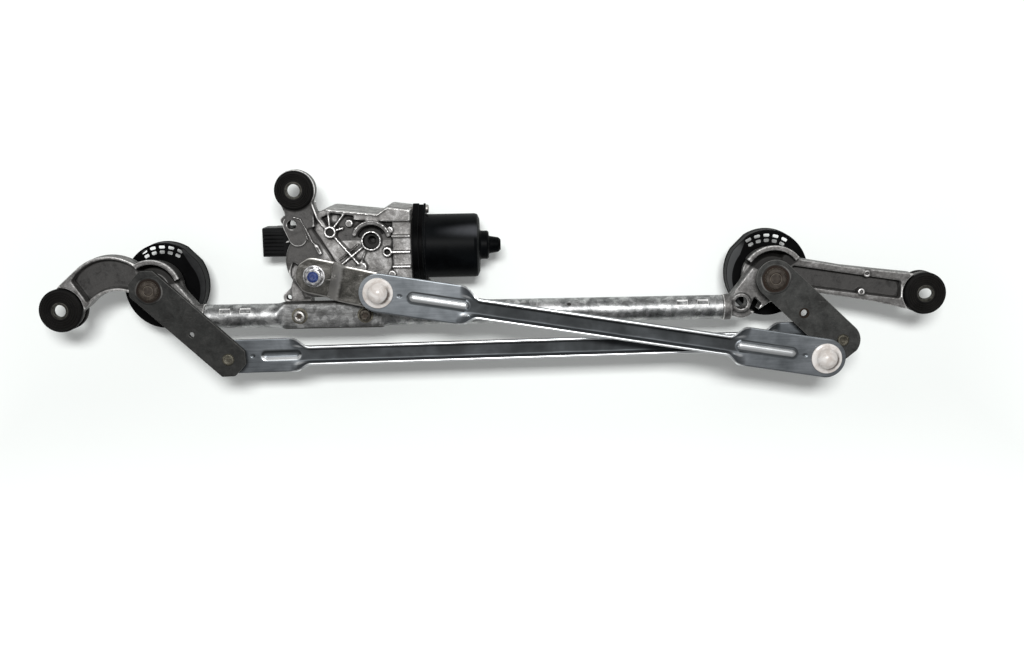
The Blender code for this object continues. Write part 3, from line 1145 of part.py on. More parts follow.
def gear_case(frame):
    ox, oy = OUTPUT_AXIS
    case = frame.add("gear_housing", prism(case_outline(), CASE_BOTTOM, CASE_FLOOR), CAST)
    sunk = CASE_FLOOR - CASE_ROOT
    inner_right = CASE_RIGHT_X - SEAT_GAP

    def boss(name, place, radius, top, sides=SMALL, bottom=sunk):
        join(case, frame.tool(name, cylinder(radius, bottom, top, sides), (*case_point(place), 0.0)))

    def hole(name, place, radius, bottom, top, sides=SMALL):
        through_hole(frame, case, name, case_point(place), radius, bottom, top, sides)

    # Raised deck over the worm wheel and the arm up to the third mount eye.
    deck = [(*case_point(place), 0.004) for place in DECK_CORNERS]
    deck = filleted(deck + case_round(DECK_INSET, (132.0, 230.0)))
    join(case, frame.tool("case_deck", prism(deck, sunk, CASE_DECK)))
    tx, ty = TOP_EYE
    arm = [(tx - 0.0150, ty - 0.0080), (ox - 0.0180, oy + 0.0350), (ox + 0.0010, oy + 0.0440),
           (tx + 0.0160, ty - 0.0060), (tx, ty)]
    join(case, frame.tool("case_arm", prism(arm, CASE_FLOOR - 0.0080, CASE_RIM_TOP)))
    # Rim along the rear edge and block at the motor end.
    rim = [case_point((x, y - RIM_INSET)) for x, y in (CASE_SHOULDER, CASE_CREST, CASE_DIP, CASE_PEAK)]
    rim += [(inner_right, oy + CASE_REAR - RIM_INSET), (inner_right, oy + CASE_REAR - 0.0130)]
    rim += [case_point((x - 0.0010, y - 0.0060)) for x, y in (CASE_DIP, CASE_CREST, CASE_SHOULDER)]
    join(case, frame.tool("case_rim", prism(rim, sunk, CASE_RIM_TOP)))
    end_left = CASE_RIGHT_X - END_RIB_LENGTH
    end_block = box((end_left, oy - CASE_FRONT + 0.0050, sunk),
                    (inner_right, oy + CASE_REAR - 0.0100, CASE_DECK - 0.001))
    join(case, frame.tool("case_end_block", end_block))
    boss("output_boss", (0.0, 0.0), OUTPUT_BOSS_RADIUS, OUTPUT_BOSS_TOP, ROUND)
    boss("screw_boss", SCREW_BOSS, SCREW_BOSS_RADIUS, RIB_TOP + 0.001)
    boss("hollow_boss", HOLLOW_BOSS, HOLLOW_BOSS_RADIUS, RIB_TOP + 0.001, ROUND)
    boss("end_boss", END_BOSS, END_BOSS_RADIUS, RIB_TOP)
    for k, (x, y, radius) in enumerate(CASE_PADS):
        boss(f"case_pad_{k}", (x, y), radius, RIB_TOP - 0.0010, 12)
    # Ribs that fan out from the screw boss and cross under the hollow boss.
    for k, place in enumerate(FAN_RIB_ENDS):
        rib(frame, case, f"fan_rib_{k}", case_point(SCREW_BOSS), case_point(place), sunk, RIB_TOP)
    rib(frame, case, "cross_rib", *(case_point(place) for place in CROSS_RIB), sunk, RIB_TOP)
    for k, y in enumerate(END_RIBS):
        rib(frame, case, f"end_rib_{k}", (end_left - 0.0010, oy + y), (CASE_RIGHT_X - 0.0020, oy + y),
            sunk, RIB_TOP)
    bow = arc((0.0, 0.0), BOW_RIB_RADIUS - RIB_WIDTH / 2, *BOW_RIB_ARC, 20.0)
    bow += arc((0.0, 0.0), BOW_RIB_RADIUS + RIB_WIDTH / 2, *BOW_RIB_ARC[::-1], 20.0)
    join(case, frame.tool("bow_rib", prism(bow, sunk, RIB_TOP), (*case_point(HOLLOW_BOSS), 0.0)))
    # Ears of the lower flange.
    ear_top = CASE_FLOOR - CASE_EAR_DROP
    for k, (x, y, radius, _) in enumerate(CASE_EARS):
        ear = hull([(*case_point((x, y)), radius), (*case_point((x * 0.70, y * 0.70)), radius)], SMALL)
        join(case, frame.tool(f"case_ear_{k}", prism(ear, ear_top - CASE_EAR_DEPTH, ear_top)))
    # Seats under the flattened tube.
    seat_top = TUBE_AXIS_Z - FLAT_HALF_HEIGHT - SEAT_GAP
    for k, x in enumerate((TUBE_SCREW_LEFT_X, TUBE_SCREW_RIGHT_X)):
        pad = hull([(x, TUBE_AXIS_Y, TUBE_PAD_RADIUS), (x, oy - 0.0120, TUBE_PAD_RADIUS)], SMALL)
        join(case, frame.tool(f"tube_pad_{k}", prism(pad, TUBE_PAD_BOTTOM, seat_top)))
    mount_eye(frame, case, "top", TOP_EYE)
    clear_above_eye(frame, case, "top", TOP_EYE, TOP_GROMMET_RADIUS)
    # Bores and pockets.
    hole("wheel_chamber", (0.0, 0.0), CHAMBER_RADIUS, CASE_BOTTOM - PAST, CHAMBER_TOP, FINE)
    bush_radius = OUTPUT_SHAFT_RADIUS + RUN_GAP + BUSH_WALL
    hole("output_bore", (0.0, 0.0), bush_radius + SEAT_GAP, CHAMBER_TOP - PAST, OUTPUT_BOSS_TOP + PAST, ROUND)
    reach = CASE_RIGHT_X - ox + PAST
    tunnel = cylinder(CASE_BORE_RADIUS, -0.0200, reach, SMALL)
    cut(case, frame.tool("worm_tunnel", tunnel, (ox, WORM_Y, MOTOR_AXIS_Z), (0.0, 90.0, 0.0)))
    hole("screw_boss_hole", SCREW_BOSS, SCREW_BOSS_BORE, RIB_TOP - 0.0030, RIB_TOP + 0.003, 12)
    hole("hollow_boss_cup", HOLLOW_BOSS, HOLLOW_BOSS_BORE, CASE_FLOOR, RIB_TOP + 0.003, ROUND)
    hole("hollow_boss_hole", HOLLOW_BOSS, HOLLOW_BOSS_BORE / 2, CASE_FLOOR - 0.009, CASE_FLOOR + PAST, 12)
    hole("end_boss_hole", END_BOSS, END_BOSS_BORE, CASE_FLOOR, RIB_TOP + 0.003, 12)
    for k, (x, y, _, radius) in enumerate(CASE_EARS):
        hole(f"case_ear_hole_{k}", (x, y), radius, ear_top - CASE_EAR_DEPTH - 0.004, CASE_FLOOR + 0.004, 12)
    for k, x in enumerate((TUBE_SCREW_LEFT_X, TUBE_SCREW_RIGHT_X)):
        through_hole(frame, case, f"tube_pad_hole_{k}", (x, TUBE_AXIS_Y), SCREW_RADIUS + SEAT_GAP,
                     TUBE_PAD_BOTTOM + 0.003, seat_top + 0.004)
    for k, (x, y) in enumerate(cover_screw_places()):
        through_hole(frame, case, f"cover_thread_{k}", (x, y), SMALL_SCREW_RADIUS + SEAT_GAP,
                     CASE_BOTTOM - PAST, SMALL_SCREW_LENGTH + 0.004, 12)
    for k, y in enumerate(lug_places()):
        socket = cylinder(SMALL_SCREW_RADIUS + SEAT_GAP, -SMALL_SCREW_LENGTH, 0.002, 12)
        cut(case, frame.tool(f"yoke_thread_{k}", socket, (CASE_RIGHT_X, y, MOTOR_AXIS_Z), (0.0, 90.0, 0.0)))
    bush_top = OUTPUT_BOSS_TOP - 0.0004
    bush_bottom = CHAMBER_TOP + 0.0005
    bore = bore_of(OUTPUT_SHAFT_RADIUS + RUN_GAP)
    turned(frame, "output_bush", [
        (bush_radius, bush_top), (bush_radius, bush_bottom), (bore, bush_bottom), (bore, bush_top)],
        BRONZE, (ox, oy, 0.0), sides=SMALL)


def cover_screw_places():
    inset, front, rear = COVER_SCREW_INSET
    x, y = CASE_RIGHT_X - inset, OUTPUT_AXIS[1]
    return (case_point(COVER_SCREW), (x, y - CASE_FRONT + front), (x, y + CASE_REAR - rear))


def lug_places():
    return (WORM_Y - FLANGE_LUG_OFFSET, WORM_Y + FLANGE_LUG_OFFSET)


def screw(frame, name, location, rotation, radius, head_radius, head_height, length, recess):
    # Pan head on height 0 with a round drive recess, shank pointing down.
    profile = [
        (0.0, head_height - recess), (head_radius * 0.45, head_height - recess * 0.3),
        (head_radius * 0.5, head_height), (head_radius * 0.86, head_height),
        (head_radius, head_height * 0.55), (head_radius, 0.0), (radius, 0.0), (radius, -length),
        (0.0, -length)]
    turned(frame, name, profile, BRIGHT, location, rotation, SMALL)


def gear_cover(frame):
    # Moulded bottom lid with the plug socket at its side.
    shell = frame.add("gear_cover", prism(case_outline(0.0006), 0.0, COVER_SHELL_TOP), BLACK_PLASTIC)
    tray = prism(case_outline(COVER_SHELL_WALL), COVER_PLATE, COVER_SHELL_TOP + PAST)
    cut(shell, frame.tool("gear_cover_tray", tray))
    middle = (PLUG_LOW_Y + PLUG_HIGH_Y) / 2
    half = PLUG_WIDTH / 2 - 0.0035
    tongue = box((PLUG_LEFT_X + 0.0050, middle - half, 0.0),
                 (PLUG_RIGHT_X + PLUG_TONGUE_LENGTH, middle + half, COVER_SHELL_TOP - 0.001))
    join(shell, frame.tool("plug_tongue", tongue))
    stem = box((PLUG_LEFT_X + 0.0080, middle - half + 0.0005, COVER_PLATE),
               (PLUG_RIGHT_X - 0.0004, middle + half - 0.0005, PLUG_TOP - 0.003))
    join(shell, frame.tool("plug_stem", stem))
    block = box((PLUG_LEFT_X, PLUG_LOW_Y, PLUG_BOTTOM), (PLUG_RIGHT_X, PLUG_HIGH_Y, PLUG_TOP))
    join(shell, frame.tool("plug_block", block))
    mouth = box((PLUG_LEFT_X - PAST, PLUG_LOW_Y + PLUG_WALL, PLUG_BOTTOM + PLUG_WALL),
                (PLUG_LEFT_X + PLUG_MOUTH_DEPTH, PLUG_HIGH_Y - PLUG_WALL, PLUG_TOP - PLUG_WALL))
    cut(shell, frame.tool("plug_mouth", mouth))
    for k, (x, y) in enumerate(cover_screw_places()):
        post = cylinder(SMALL_SCREW_HEAD_RADIUS + 0.0015, COVER_PLATE - 0.001, COVER_SHELL_TOP - 0.0002, 12)
        join(shell, frame.tool(f"cover_post_{k}", post, (x, y, 0.0)))
    seat = SMALL_SCREW_HEAD_HEIGHT + 0.0012
    for k, (x, y) in enumerate(cover_screw_places()):
        through_hole(frame, shell, f"cover_screw_hole_{k}", (x, y), SMALL_SCREW_RADIUS + SEAT_GAP, -PAST,
                     COVER_SHELL_TOP + PAST, 12)
        through_hole(frame, shell, f"cover_screw_counterbore_{k}", (x, y), SMALL_SCREW_HEAD_RADIUS + SEAT_GAP,
                     -PAST, seat)
        screw(frame, f"cover_screw_{k + 1}", (x, y, seat - SEAT_GAP), (180.0, 0.0, 0.0), SMALL_SCREW_RADIUS,
              SMALL_SCREW_HEAD_RADIUS, SMALL_SCREW_HEAD_HEIGHT, SMALL_SCREW_LENGTH - seat, 0.001)


def flange_outline():
    lugs = [(0.0, side * FLANGE_LUG_OFFSET, FLANGE_LUG_RADIUS) for side in (-1, 1)]
    return hull([(0.0, 0.0, YOKE_RADIUS + 0.0008)] + lugs, SMALL * 2)


def motor(frame):
    along = (0.0, 90.0, 0.0)
    face = (YOKE_FACE_X, WORM_Y, MOTOR_AXIS_Z)
    end = YOKE_LENGTH
    boss_end = end + YOKE_BOSS_LENGTH
    tip_end = boss_end + YOKE_TIP_LENGTH
    inner = YOKE_RADIUS - YOKE_WALL
    pocket = ARMATURE_SHAFT_RADIUS + 0.0030
    # Drawn steel can with a stepped bearing boss.
    yoke = turned(frame, "motor_yoke", [
        (0.0, tip_end), (YOKE_TIP_RADIUS - 0.0030, tip_end), (YOKE_TIP_RADIUS - 0.0010, tip_end - 0.0025),
        (YOKE_TIP_RADIUS, boss_end), (YOKE_BOSS_RADIUS - 0.0010, boss_end),
        (YOKE_BOSS_RADIUS, boss_end - 0.0010), (YOKE_BOSS_RADIUS, end), (YOKE_RADIUS - 0.0030, end),
        (YOKE_RADIUS - 0.0008, end - 0.0010), (YOKE_RADIUS, end - 0.0035), (YOKE_RADIUS, 0.0), (inner, 0.0),
        (inner, end - YOKE_WALL), (pocket, end - YOKE_WALL), (pocket, boss_end + 0.003),
        (0.0, boss_end + 0.003)],
        BLACK_PAINT, face, along, FINE)
    flange = prism(flange_outline(), 0.0, YOKE_FLANGE_THICKNESS,
                   [circle((0.0, 0.0), YOKE_RADIUS - YOKE_WALL * 0.5, FINE)])
    join(yoke, frame.tool("yoke_flange", flange, face, along))
    holder = frame.add("brush_holder", prism(flange_outline(), 0.0, HOLDER_THICKNESS), BLACK_PLASTIC,
                       (YOKE_FACE_X - SEAT_GAP - HOLDER_THICKNESS, WORM_Y, MOTOR_AXIS_Z), along)
    recess = COMMUTATOR_RADIUS + 0.0020
    opening = ARMATURE_SHAFT_RADIUS + 0.0006
    cut(holder, turned_tool(frame, "holder_bore", [
        (0.0, HOLDER_THICKNESS + PAST), (recess, HOLDER_THICKNESS + PAST), (recess, HOLDER_FLOOR),
        (opening, HOLDER_FLOOR), (opening, -PAST), (0.0, -PAST)], tuple(holder.location), along))
    for k, y in enumerate(lug_places()):
        drill = cylinder(SMALL_SCREW_RADIUS + SEAT_GAP, -HOLDER_THICKNESS - 0.004,
                         YOKE_FLANGE_THICKNESS + 0.004, 12)
        drill_tool = frame.tool(f"lug_hole_{k}", drill, (YOKE_FACE_X, y, MOTOR_AXIS_Z), along)
        cut(holder, drill_tool)
        cut(yoke, drill_tool)
        screw(frame, ("yoke_screw_lower", "yoke_screw_upper")[k],
              (YOKE_FACE_X + YOKE_FLANGE_THICKNESS + SEAT_GAP, y, MOTOR_AXIS_Z), along, SMALL_SCREW_RADIUS,
              SMALL_SCREW_HEAD_RADIUS, SMALL_SCREW_HEAD_HEIGHT,
              HOLDER_THICKNESS + YOKE_FLANGE_THICKNESS + SMALL_SCREW_LENGTH * 0.8, 0.001)
    magnet_outer = inner - SEAT_GAP
    for name, middle in (("upper_magnet", 180.0), ("lower_magnet", 0.0)):
        low, high = middle - MAGNET_SPAN / 2, middle + MAGNET_SPAN / 2
        section = arc((0.0, 0.0), magnet_outer, low, high, 14.0)
        section += arc((0.0, 0.0), magnet_outer - MAGNET_THICKNESS, high, low, 14.0)
        frame.add(name, prism(section, 0.0090, 0.0090 + MAGNET_LENGTH), FERRITE, face, along)
    bore = bore_of(ARMATURE_SHAFT_RADIUS + RUN_GAP)
    turned(frame, "rear_bush", [
        (pocket - SEAT_GAP, boss_end), (pocket - SEAT_GAP, end), (bore, end), (bore, boss_end)],
        BRONZE, face, along, SMALL)


def tube_screws(frame):
    seat = TUBE_AXIS_Z + FLAT_HALF_HEIGHT + SEAT_GAP
    for name, x in (("tube_screw_left", TUBE_SCREW_LEFT_X), ("tube_screw_right", TUBE_SCREW_RIGHT_X)):
        screw(frame, name, (x, TUBE_AXIS_Y, seat), (0.0, 0.0, 0.0), SCREW_RADIUS, SCREW_HEAD_RADIUS,
              SCREW_HEAD_HEIGHT, TUBE_SCREW_LENGTH, SCREW_RECESS_DEPTH)


def stand_on_base(root):
    # Moves the whole assembly so that the middle of its base is the origin.
    depsgraph = bpy.context.evaluated_depsgraph_get()
    points = []
    for piece in parts.objects:
        if piece.type == "MESH":
            solid = piece.evaluated_get(depsgraph)
            points += [solid.matrix_world @ vertex.co for vertex in solid.to_mesh().vertices]
            solid.to_mesh_clear()
    low = [min(point[axis] for point in points) for axis in range(3)]
    high = [max(point[axis] for point in points) for axis in range(3)]
    root.location = (-(low[0] + high[0]) / 2, -(low[1] + high[1]) / 2, -low[2])
    bpy.context.view_layer.update()


def build():
    root = bpy.data.objects.new("wiper_linkage_base", None)
    parts.objects.link(root)
    frame = Body("frame_body", root)
    frame_tube(frame)
    left_housing(frame)
    right_housing(frame)
    pivot_cover(frame, "left", LEFT_PIVOT, 1)
    pivot_cover(frame, "right", RIGHT_PIVOT, -1)
    for side, eye, radius in (("left", LEFT_EYE, LEFT_GROMMET_RADIUS),
                              ("right", RIGHT_EYE, RIGHT_GROMMET_RADIUS),
                              ("top", TOP_EYE, TOP_GROMMET_RADIUS)):
        grommet(frame, side, eye, radius)
    gear_case(frame)
    gear_cover(frame)
    motor(frame)
    tube_screws(frame)
    left_crank(frame)
    rear, front = right_crank(frame)
    motor_crank(frame)
    armature(frame)
    rear_ball = (RIGHT_PIVOT[0] + rear[0], RIGHT_PIVOT[1] + rear[1])
    front_ball = (RIGHT_PIVOT[0] + front[0], RIGHT_PIVOT[1] + front[1])
    drive_link(frame, polar(CRANK_REACH, CRANK_ANGLE, OUTPUT_AXIS), front_ball)
    tie_link(frame, polar(LEFT_LEVER_REACH, LEFT_LEVER_ANGLE, LEFT_PIVOT), rear_ball)
    stand_on_base(root)


clear_scene()
parts = bpy.data.collections.new("wiper_linkage")
cutters = bpy.data.collections.new("cutters")
for group in (parts, cutters):
    bpy.context.scene.collection.children.link(group)
build()
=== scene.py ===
import json
import math

import bmesh
import bpy
import numpy as np
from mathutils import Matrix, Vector
from mathutils.geometry import tessellate_polygon


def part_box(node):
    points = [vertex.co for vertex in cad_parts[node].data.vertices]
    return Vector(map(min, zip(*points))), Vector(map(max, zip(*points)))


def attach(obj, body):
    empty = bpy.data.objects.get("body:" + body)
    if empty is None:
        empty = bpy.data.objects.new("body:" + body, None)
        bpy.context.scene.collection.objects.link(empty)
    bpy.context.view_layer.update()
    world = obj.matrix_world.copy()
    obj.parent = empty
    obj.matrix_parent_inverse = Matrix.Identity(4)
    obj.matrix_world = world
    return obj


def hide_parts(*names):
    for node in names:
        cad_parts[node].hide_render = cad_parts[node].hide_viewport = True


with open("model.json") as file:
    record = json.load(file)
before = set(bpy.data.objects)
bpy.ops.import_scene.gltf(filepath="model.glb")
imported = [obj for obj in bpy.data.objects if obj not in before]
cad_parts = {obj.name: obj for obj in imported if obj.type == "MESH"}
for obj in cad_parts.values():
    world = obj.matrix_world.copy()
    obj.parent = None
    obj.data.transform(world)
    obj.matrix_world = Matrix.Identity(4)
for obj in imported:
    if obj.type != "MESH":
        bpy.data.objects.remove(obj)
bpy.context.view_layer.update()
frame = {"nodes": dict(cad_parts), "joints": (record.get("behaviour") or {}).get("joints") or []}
nodes = frame["nodes"]
joints = {joint["name"]: joint for joint in frame["joints"]}

# All sizes below are millimetres from the middle between the two pivots, heights from the wiper ends.
leftJoint = joints["left_pivot_turn"]["pos_m"]
rightJoint = joints["right_pivot_turn"]["pos_m"]
middle = np.array([(leftJoint[0] + rightJoint[0]) / 2, (leftJoint[1] + rightJoint[1]) / 2, 0.0])


def boxOf(node):  # corners of a CAD node in the millimetres of this file
    low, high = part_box(node)
    return (np.array(low) - middle) * 1000.0, (np.array(high) - middle) * 1000.0


def centreOf(node):
    low, high = boxOf(node)
    return (low + high) / 2


def jointAt(name):
    return (np.array(joints[name]["pos_m"]) - middle) * 1000.0


leftPivot = jointAt("left_pivot_turn")[:2]
rightPivot = jointAt("right_pivot_turn")[:2]
outputAxis = jointAt("motor_crank_turn")[:2]
frontBall = jointAt("drive_link_swivel")
rearBall = jointAt("tie_link_swivel")
leverLow, leverHigh = boxOf("left_lever")[0][2], boxOf("left_lever")[1][2]
wormY, motorZ = jointAt("armature_spin")[1:]
tubeLine = -27.8  # the tube's axis, along Y
eyes = {side: centreOf(side + "_spacer")[:2] for side in ("left", "right", "top")}
eyes["top"] += [1.8, -1.2]  # as the photograph shows it
print("frame loaded,", len(nodes), "nodes")


class Wire:  # a node's output that takes part in plain arithmetic
    def __init__(self, finish, socket):
        self.finish = finish
        self.socket = socket

    def sum(self, operation, first, second):
        return self.finish.node("ShaderNodeMath", {"operation": operation}, {0: first, 1: second})

    def __add__(self, other):
        return self.sum("ADD", self, other)

    def __radd__(self, other):
        return self.sum("ADD", other, self)

    def __sub__(self, other):
        return self.sum("SUBTRACT", self, other)

    def __rsub__(self, other):
        return self.sum("SUBTRACT", other, self)

    def __mul__(self, other):
        return self.sum("MULTIPLY", self, other)

    def __rmul__(self, other):
        return self.sum("MULTIPLY", other, self)

    def above(self, low, high):  # 0 under low, 1 over high, smooth between
        return self.finish.node("ShaderNodeMapRange", {"interpolation_type": "SMOOTHSTEP"},
                                {"Value": self, "From Min": low, "From Max": high})


class Finish:  # one material and the nodes that feed its Principled shader
    def __init__(self, name, roughness=0.5, metallic=0.0, specular=0.5, coat=0.0, coatRoughness=0.1):
        self.material = bpy.data.materials.new(name)
        self.material.use_nodes = True
        self.tree = self.material.node_tree
        self.shader = self.tree.nodes["Principled BSDF"]
        fixed = {"Roughness": roughness, "Metallic": metallic, "Specular IOR Level": specular,
                 "Coat Weight": coat, "Coat Roughness": coatRoughness}
        for key, value in fixed.items():
            self.shader.inputs[key].default_value = value
        self.where = self.node("ShaderNodeTexCoord", output="Object")
        # The edge mark is worn edges and, in places, painted highlights; the dirt mark is real dirt, rust and
        # dust and, in places, painted shade and painted highlights.
        self.edge = self.node("ShaderNodeAttribute", {"attribute_name": "edge"}, output="Fac")
        self.dirt = self.node("ShaderNodeAttribute", {"attribute_name": "dirt"}, output="Fac")

    def node(self, kind, settings=None, values=None, output=0):
        made = self.tree.nodes.new(kind)
        for key, value in (settings or {}).items():
            if key == "stops":
                ramp = made.color_ramp
                while len(ramp.elements) < len(value):
                    ramp.elements.new(0.5)
                for element, (position, colour) in zip(ramp.elements, value):
                    element.position = position
                    element.color = (*colour, 1.0)
            else:
                setattr(made, key, value)
        for key, value in (values or {}).items():
            if isinstance(value, Wire):
                self.tree.links.new(value.socket, made.inputs[key])
            elif isinstance(value, tuple) and len(value) == 3 and made.inputs[key].type == "RGBA":
                made.inputs[key].default_value = (*value, 1.0)
            else:
                made.inputs[key].default_value = value
        return Wire(self, made.outputs[output])

    def noise(self, scale, detail=3.0, rough=0.55, warp=0.0, stretch=None):
        place = self.where
        if stretch:
            place = self.node("ShaderNodeMapping", {}, {"Vector": self.where, "Scale": stretch})
        return self.node("ShaderNodeTexNoise", {}, {"Vector": place, "Scale": scale, "Detail": detail,
                                                    "Roughness": rough, "Distortion": warp})

    def cells(self, scale, output="Color", feature="F1"):
        return self.node("ShaderNodeTexVoronoi", {"feature": feature}, {"Vector": self.where, "Scale": scale},
                         output)

    def mix(self, factor, first, second):  # colours are mixed here, numbers in plain arithmetic
        return self.node("ShaderNodeMix", {"data_type": "RGBA"}, {0: factor, 6: first, 7: second}, 2)

    def ramp(self, value, stops):
        return self.node("ShaderNodeValToRGB", {"stops": stops}, {"Fac": value})

    def toned(self, value, look, stops=(0.34, 0.50, 0.68)):  # dark, body and light over a value
        return self.ramp(value, tuple(zip(stops, (look["dark"], look["body"], look["light"]))))

    def wear(self, colour=None, roughness=None, metallic=None, bump=None, depth=0.0003, strength=0.5):
        for key, value in (("Base Color", colour), ("Roughness", roughness), ("Metallic", metallic)):
            if isinstance(value, Wire):
                self.tree.links.new(value.socket, self.shader.inputs[key])
            elif value is not None:
                self.shader.inputs[key].default_value = (*value, 1.0) if key == "Base Color" else value
        if bump is not None:
            lumps = self.node("ShaderNodeBump", {}, {"Height": bump, "Distance": depth, "Strength": strength})
            self.tree.links.new(lumps.socket, self.shader.inputs["Normal"])
        return self.material


def castFinish(name, shade, contrast):
    look = {"dark": (0.050, 0.048, 0.046), "body": (0.185, 0.18, 0.175), "light": (0.44, 0.435, 0.43),
            "worn": (0.74, 0.73, 0.715), "soot": (0.014, 0.013, 0.012), "grain": 1500.0, "blotch": 75.0}
    for key in ("dark", "body", "light"):
        look[key] = tuple(channel * shade for channel in look[key])
    made = Finish(name, metallic=0.75)
    blotch = made.noise(look["blotch"], 6.0, 0.72, 0.6)
    grain = made.noise(look["grain"], 2.0, 0.7)
    pits = made.noise(420.0, 4.0, 0.7)
    stops = (0.5 - 0.14 / contrast, 0.50, 0.5 + 0.13 / contrast)
    colour = made.toned(blotch * 0.60 + pits * 0.22 + grain * 0.18, look, stops)
    worn = (made.edge * (0.35 + 1.1 * pits)).above(0.20, 0.55)
    # The soot mark darkens real grime and is also painted shade in hollows, in corners and under the guards.
    soot = (made.dirt * (0.10 + 1.2 * blotch + 0.5 * pits)).above(0.22, 0.65)
    colour = made.mix(soot, colour, look["soot"])
    colour = made.mix(worn, colour, look["worn"])
    rough = 0.62 - 0.22 * worn + 0.14 * soot - 0.12 * blotch
    metal = 0.85 - 0.5 * soot
    return made.wear(colour, rough, metal, grain * 0.5 + pits * 0.8, 0.00045, 0.55)


def tubeFinish():
    look = {"dark": (0.085, 0.087, 0.088), "body": (0.24, 0.243, 0.243), "light": (0.60, 0.605, 0.60),
            "stain": (0.032, 0.031, 0.029), "spangle": 190.0}
    made = Finish("galvanisedTube", metallic=0.9)
    spangle = made.cells(look["spangle"])
    cloud = made.noise(70.0, 5.0, 0.65, 0.8, (1.0, 1.0, 1.0))
    fine = made.noise(900.0, 3.0, 0.6)
    scuff = made.noise(160.0, 4.0, 0.7, 0.2, (0.35, 1.6, 1.6))
    tone = cloud * 0.7 + fine * 0.18 + made.node("ShaderNodeRGBToBW", {}, {"Color": spangle}) * 0.16
    colour = made.toned(tone, look, (0.36, 0.50, 0.66))
    stain = (made.dirt + scuff * 0.5).above(0.62, 1.05)
    colour = made.mix(stain, colour, look["stain"])
    bright = made.edge.above(0.2, 0.8)
    colour = made.mix(bright, colour, (0.78, 0.78, 0.77))
    rough = 0.30 + 0.28 * cloud + 0.2 * stain
    return made.wear(colour, rough, 0.92 - 0.5 * stain, fine * 0.5 + cloud * 0.7, 0.0003, 0.35)


def leverFinish(name, shade):
    look = {"dark": (0.040, 0.040, 0.038), "body": (0.098, 0.100, 0.096), "light": (0.19, 0.19, 0.182),
            "rust": (0.045, 0.026, 0.016), "worn": (0.40, 0.39, 0.375)}
    for key in look:
        look[key] = tuple(channel * shade for channel in look[key])
    made = Finish(name, metallic=0.55, specular=0.3)
    cloud = made.noise(85.0, 6.0, 0.68, 0.5)
    fine = made.noise(1300.0, 2.0, 0.7)
    specks = made.noise(420.0, 3.0, 0.75)
    scratch = made.noise(240.0, 3.0, 0.6, 0.3, (0.18, 1.7, 1.0))
    colour = made.toned(cloud * 0.62 + fine * 0.22 + specks * 0.16, look)
    colour = made.mix(scratch.above(0.66, 0.76) * 0.3, colour, look["worn"])
    mottle = made.noise(190.0, 5.0, 0.75, 0.8)
    colour = made.mix(mottle.above(0.50, 0.72) * 0.5, colour, look["light"])
    rust = (made.dirt * (0.3 + cloud)).above(0.28, 0.7)
    colour = made.mix(rust, colour, look["rust"])
    worn = (made.edge * (0.4 + specks)).above(0.35, 0.8)
    colour = made.mix(worn * 0.8, colour, look["worn"])
    rough = 0.52 + 0.2 * cloud + 0.2 * rust - 0.15 * worn
    return made.wear(colour, rough, 0.65 - 0.4 * rust, fine * 0.4 + specks * 0.6, 0.00025, 0.4)


def linkFinish():
    look = {"dark": (0.095, 0.105, 0.113), "body": (0.155, 0.168, 0.180), "light": (0.23, 0.245, 0.26),
            "edge": (0.72, 0.74, 0.75), "grime": (0.020, 0.023, 0.025)}
    made = Finish("linkZinc", metallic=0.85)
    cloud = made.noise(32.0, 4.0, 0.6, 0.4)
    fine = made.noise(1500.0, 2.0, 0.6)
    drawn = made.noise(420.0, 3.0, 0.55, 0.0, (0.12, 1.5, 1.5))
    colour = made.toned(cloud * 0.6 + drawn * 0.28 + fine * 0.12, look)
    # Besides real grime, this mark is painted shade in the channels; the bright mark below is partly painted
    # highlight on bead crowns and creases.
    grime = (made.dirt * (0.45 + 0.8 * cloud)).above(0.22, 0.75)
    colour = made.mix(grime, colour, look["grime"])
    bright = (made.edge * (0.7 + 0.5 * drawn)).above(0.2, 0.8)
    colour = made.mix(bright, colour, look["edge"])
    rough = 0.34 + 0.16 * cloud + 0.25 * grime - 0.1 * bright
    return made.wear(colour, rough, 0.9 - 0.5 * grime, drawn * 0.5 + fine * 0.5, 0.0001, 0.3)


def crankFinish():
    look = {"dark": (0.016, 0.016, 0.014), "body": (0.052, 0.050, 0.045), "light": (0.15, 0.145, 0.134),
            "bright": (0.42, 0.41, 0.39), "rust": (0.085, 0.034, 0.015)}
    made = Finish("crankZinc", metallic=0.75)
    cloud = made.noise(75.0, 5.0, 0.65, 0.7)
    fine = made.noise(1200.0, 2.0, 0.7)
    scratch = made.noise(260.0, 3.0, 0.6, 0.4, (0.25, 1.5, 1.0))
    colour = made.toned(cloud * 0.7 + fine * 0.3, look)
    colour = made.mix(scratch.above(0.62, 0.72) * 0.5, colour, look["bright"])
    # The worn mark also carries the painted highlight on the bends.
    worn = (made.edge * (0.6 + 0.8 * scratch)).above(0.25, 0.8)
    colour = made.mix(worn, colour, look["bright"])
    rust = (made.dirt * (0.3 + cloud)).above(0.35, 0.8)
    colour = made.mix(rust, colour, look["rust"])
    rough = 0.36 + 0.2 * cloud + 0.25 * rust - 0.08 * worn
    return made.wear(colour, rough, 0.9 - 0.6 * rust, fine * 0.4 + cloud * 0.6, 0.00025, 0.35)


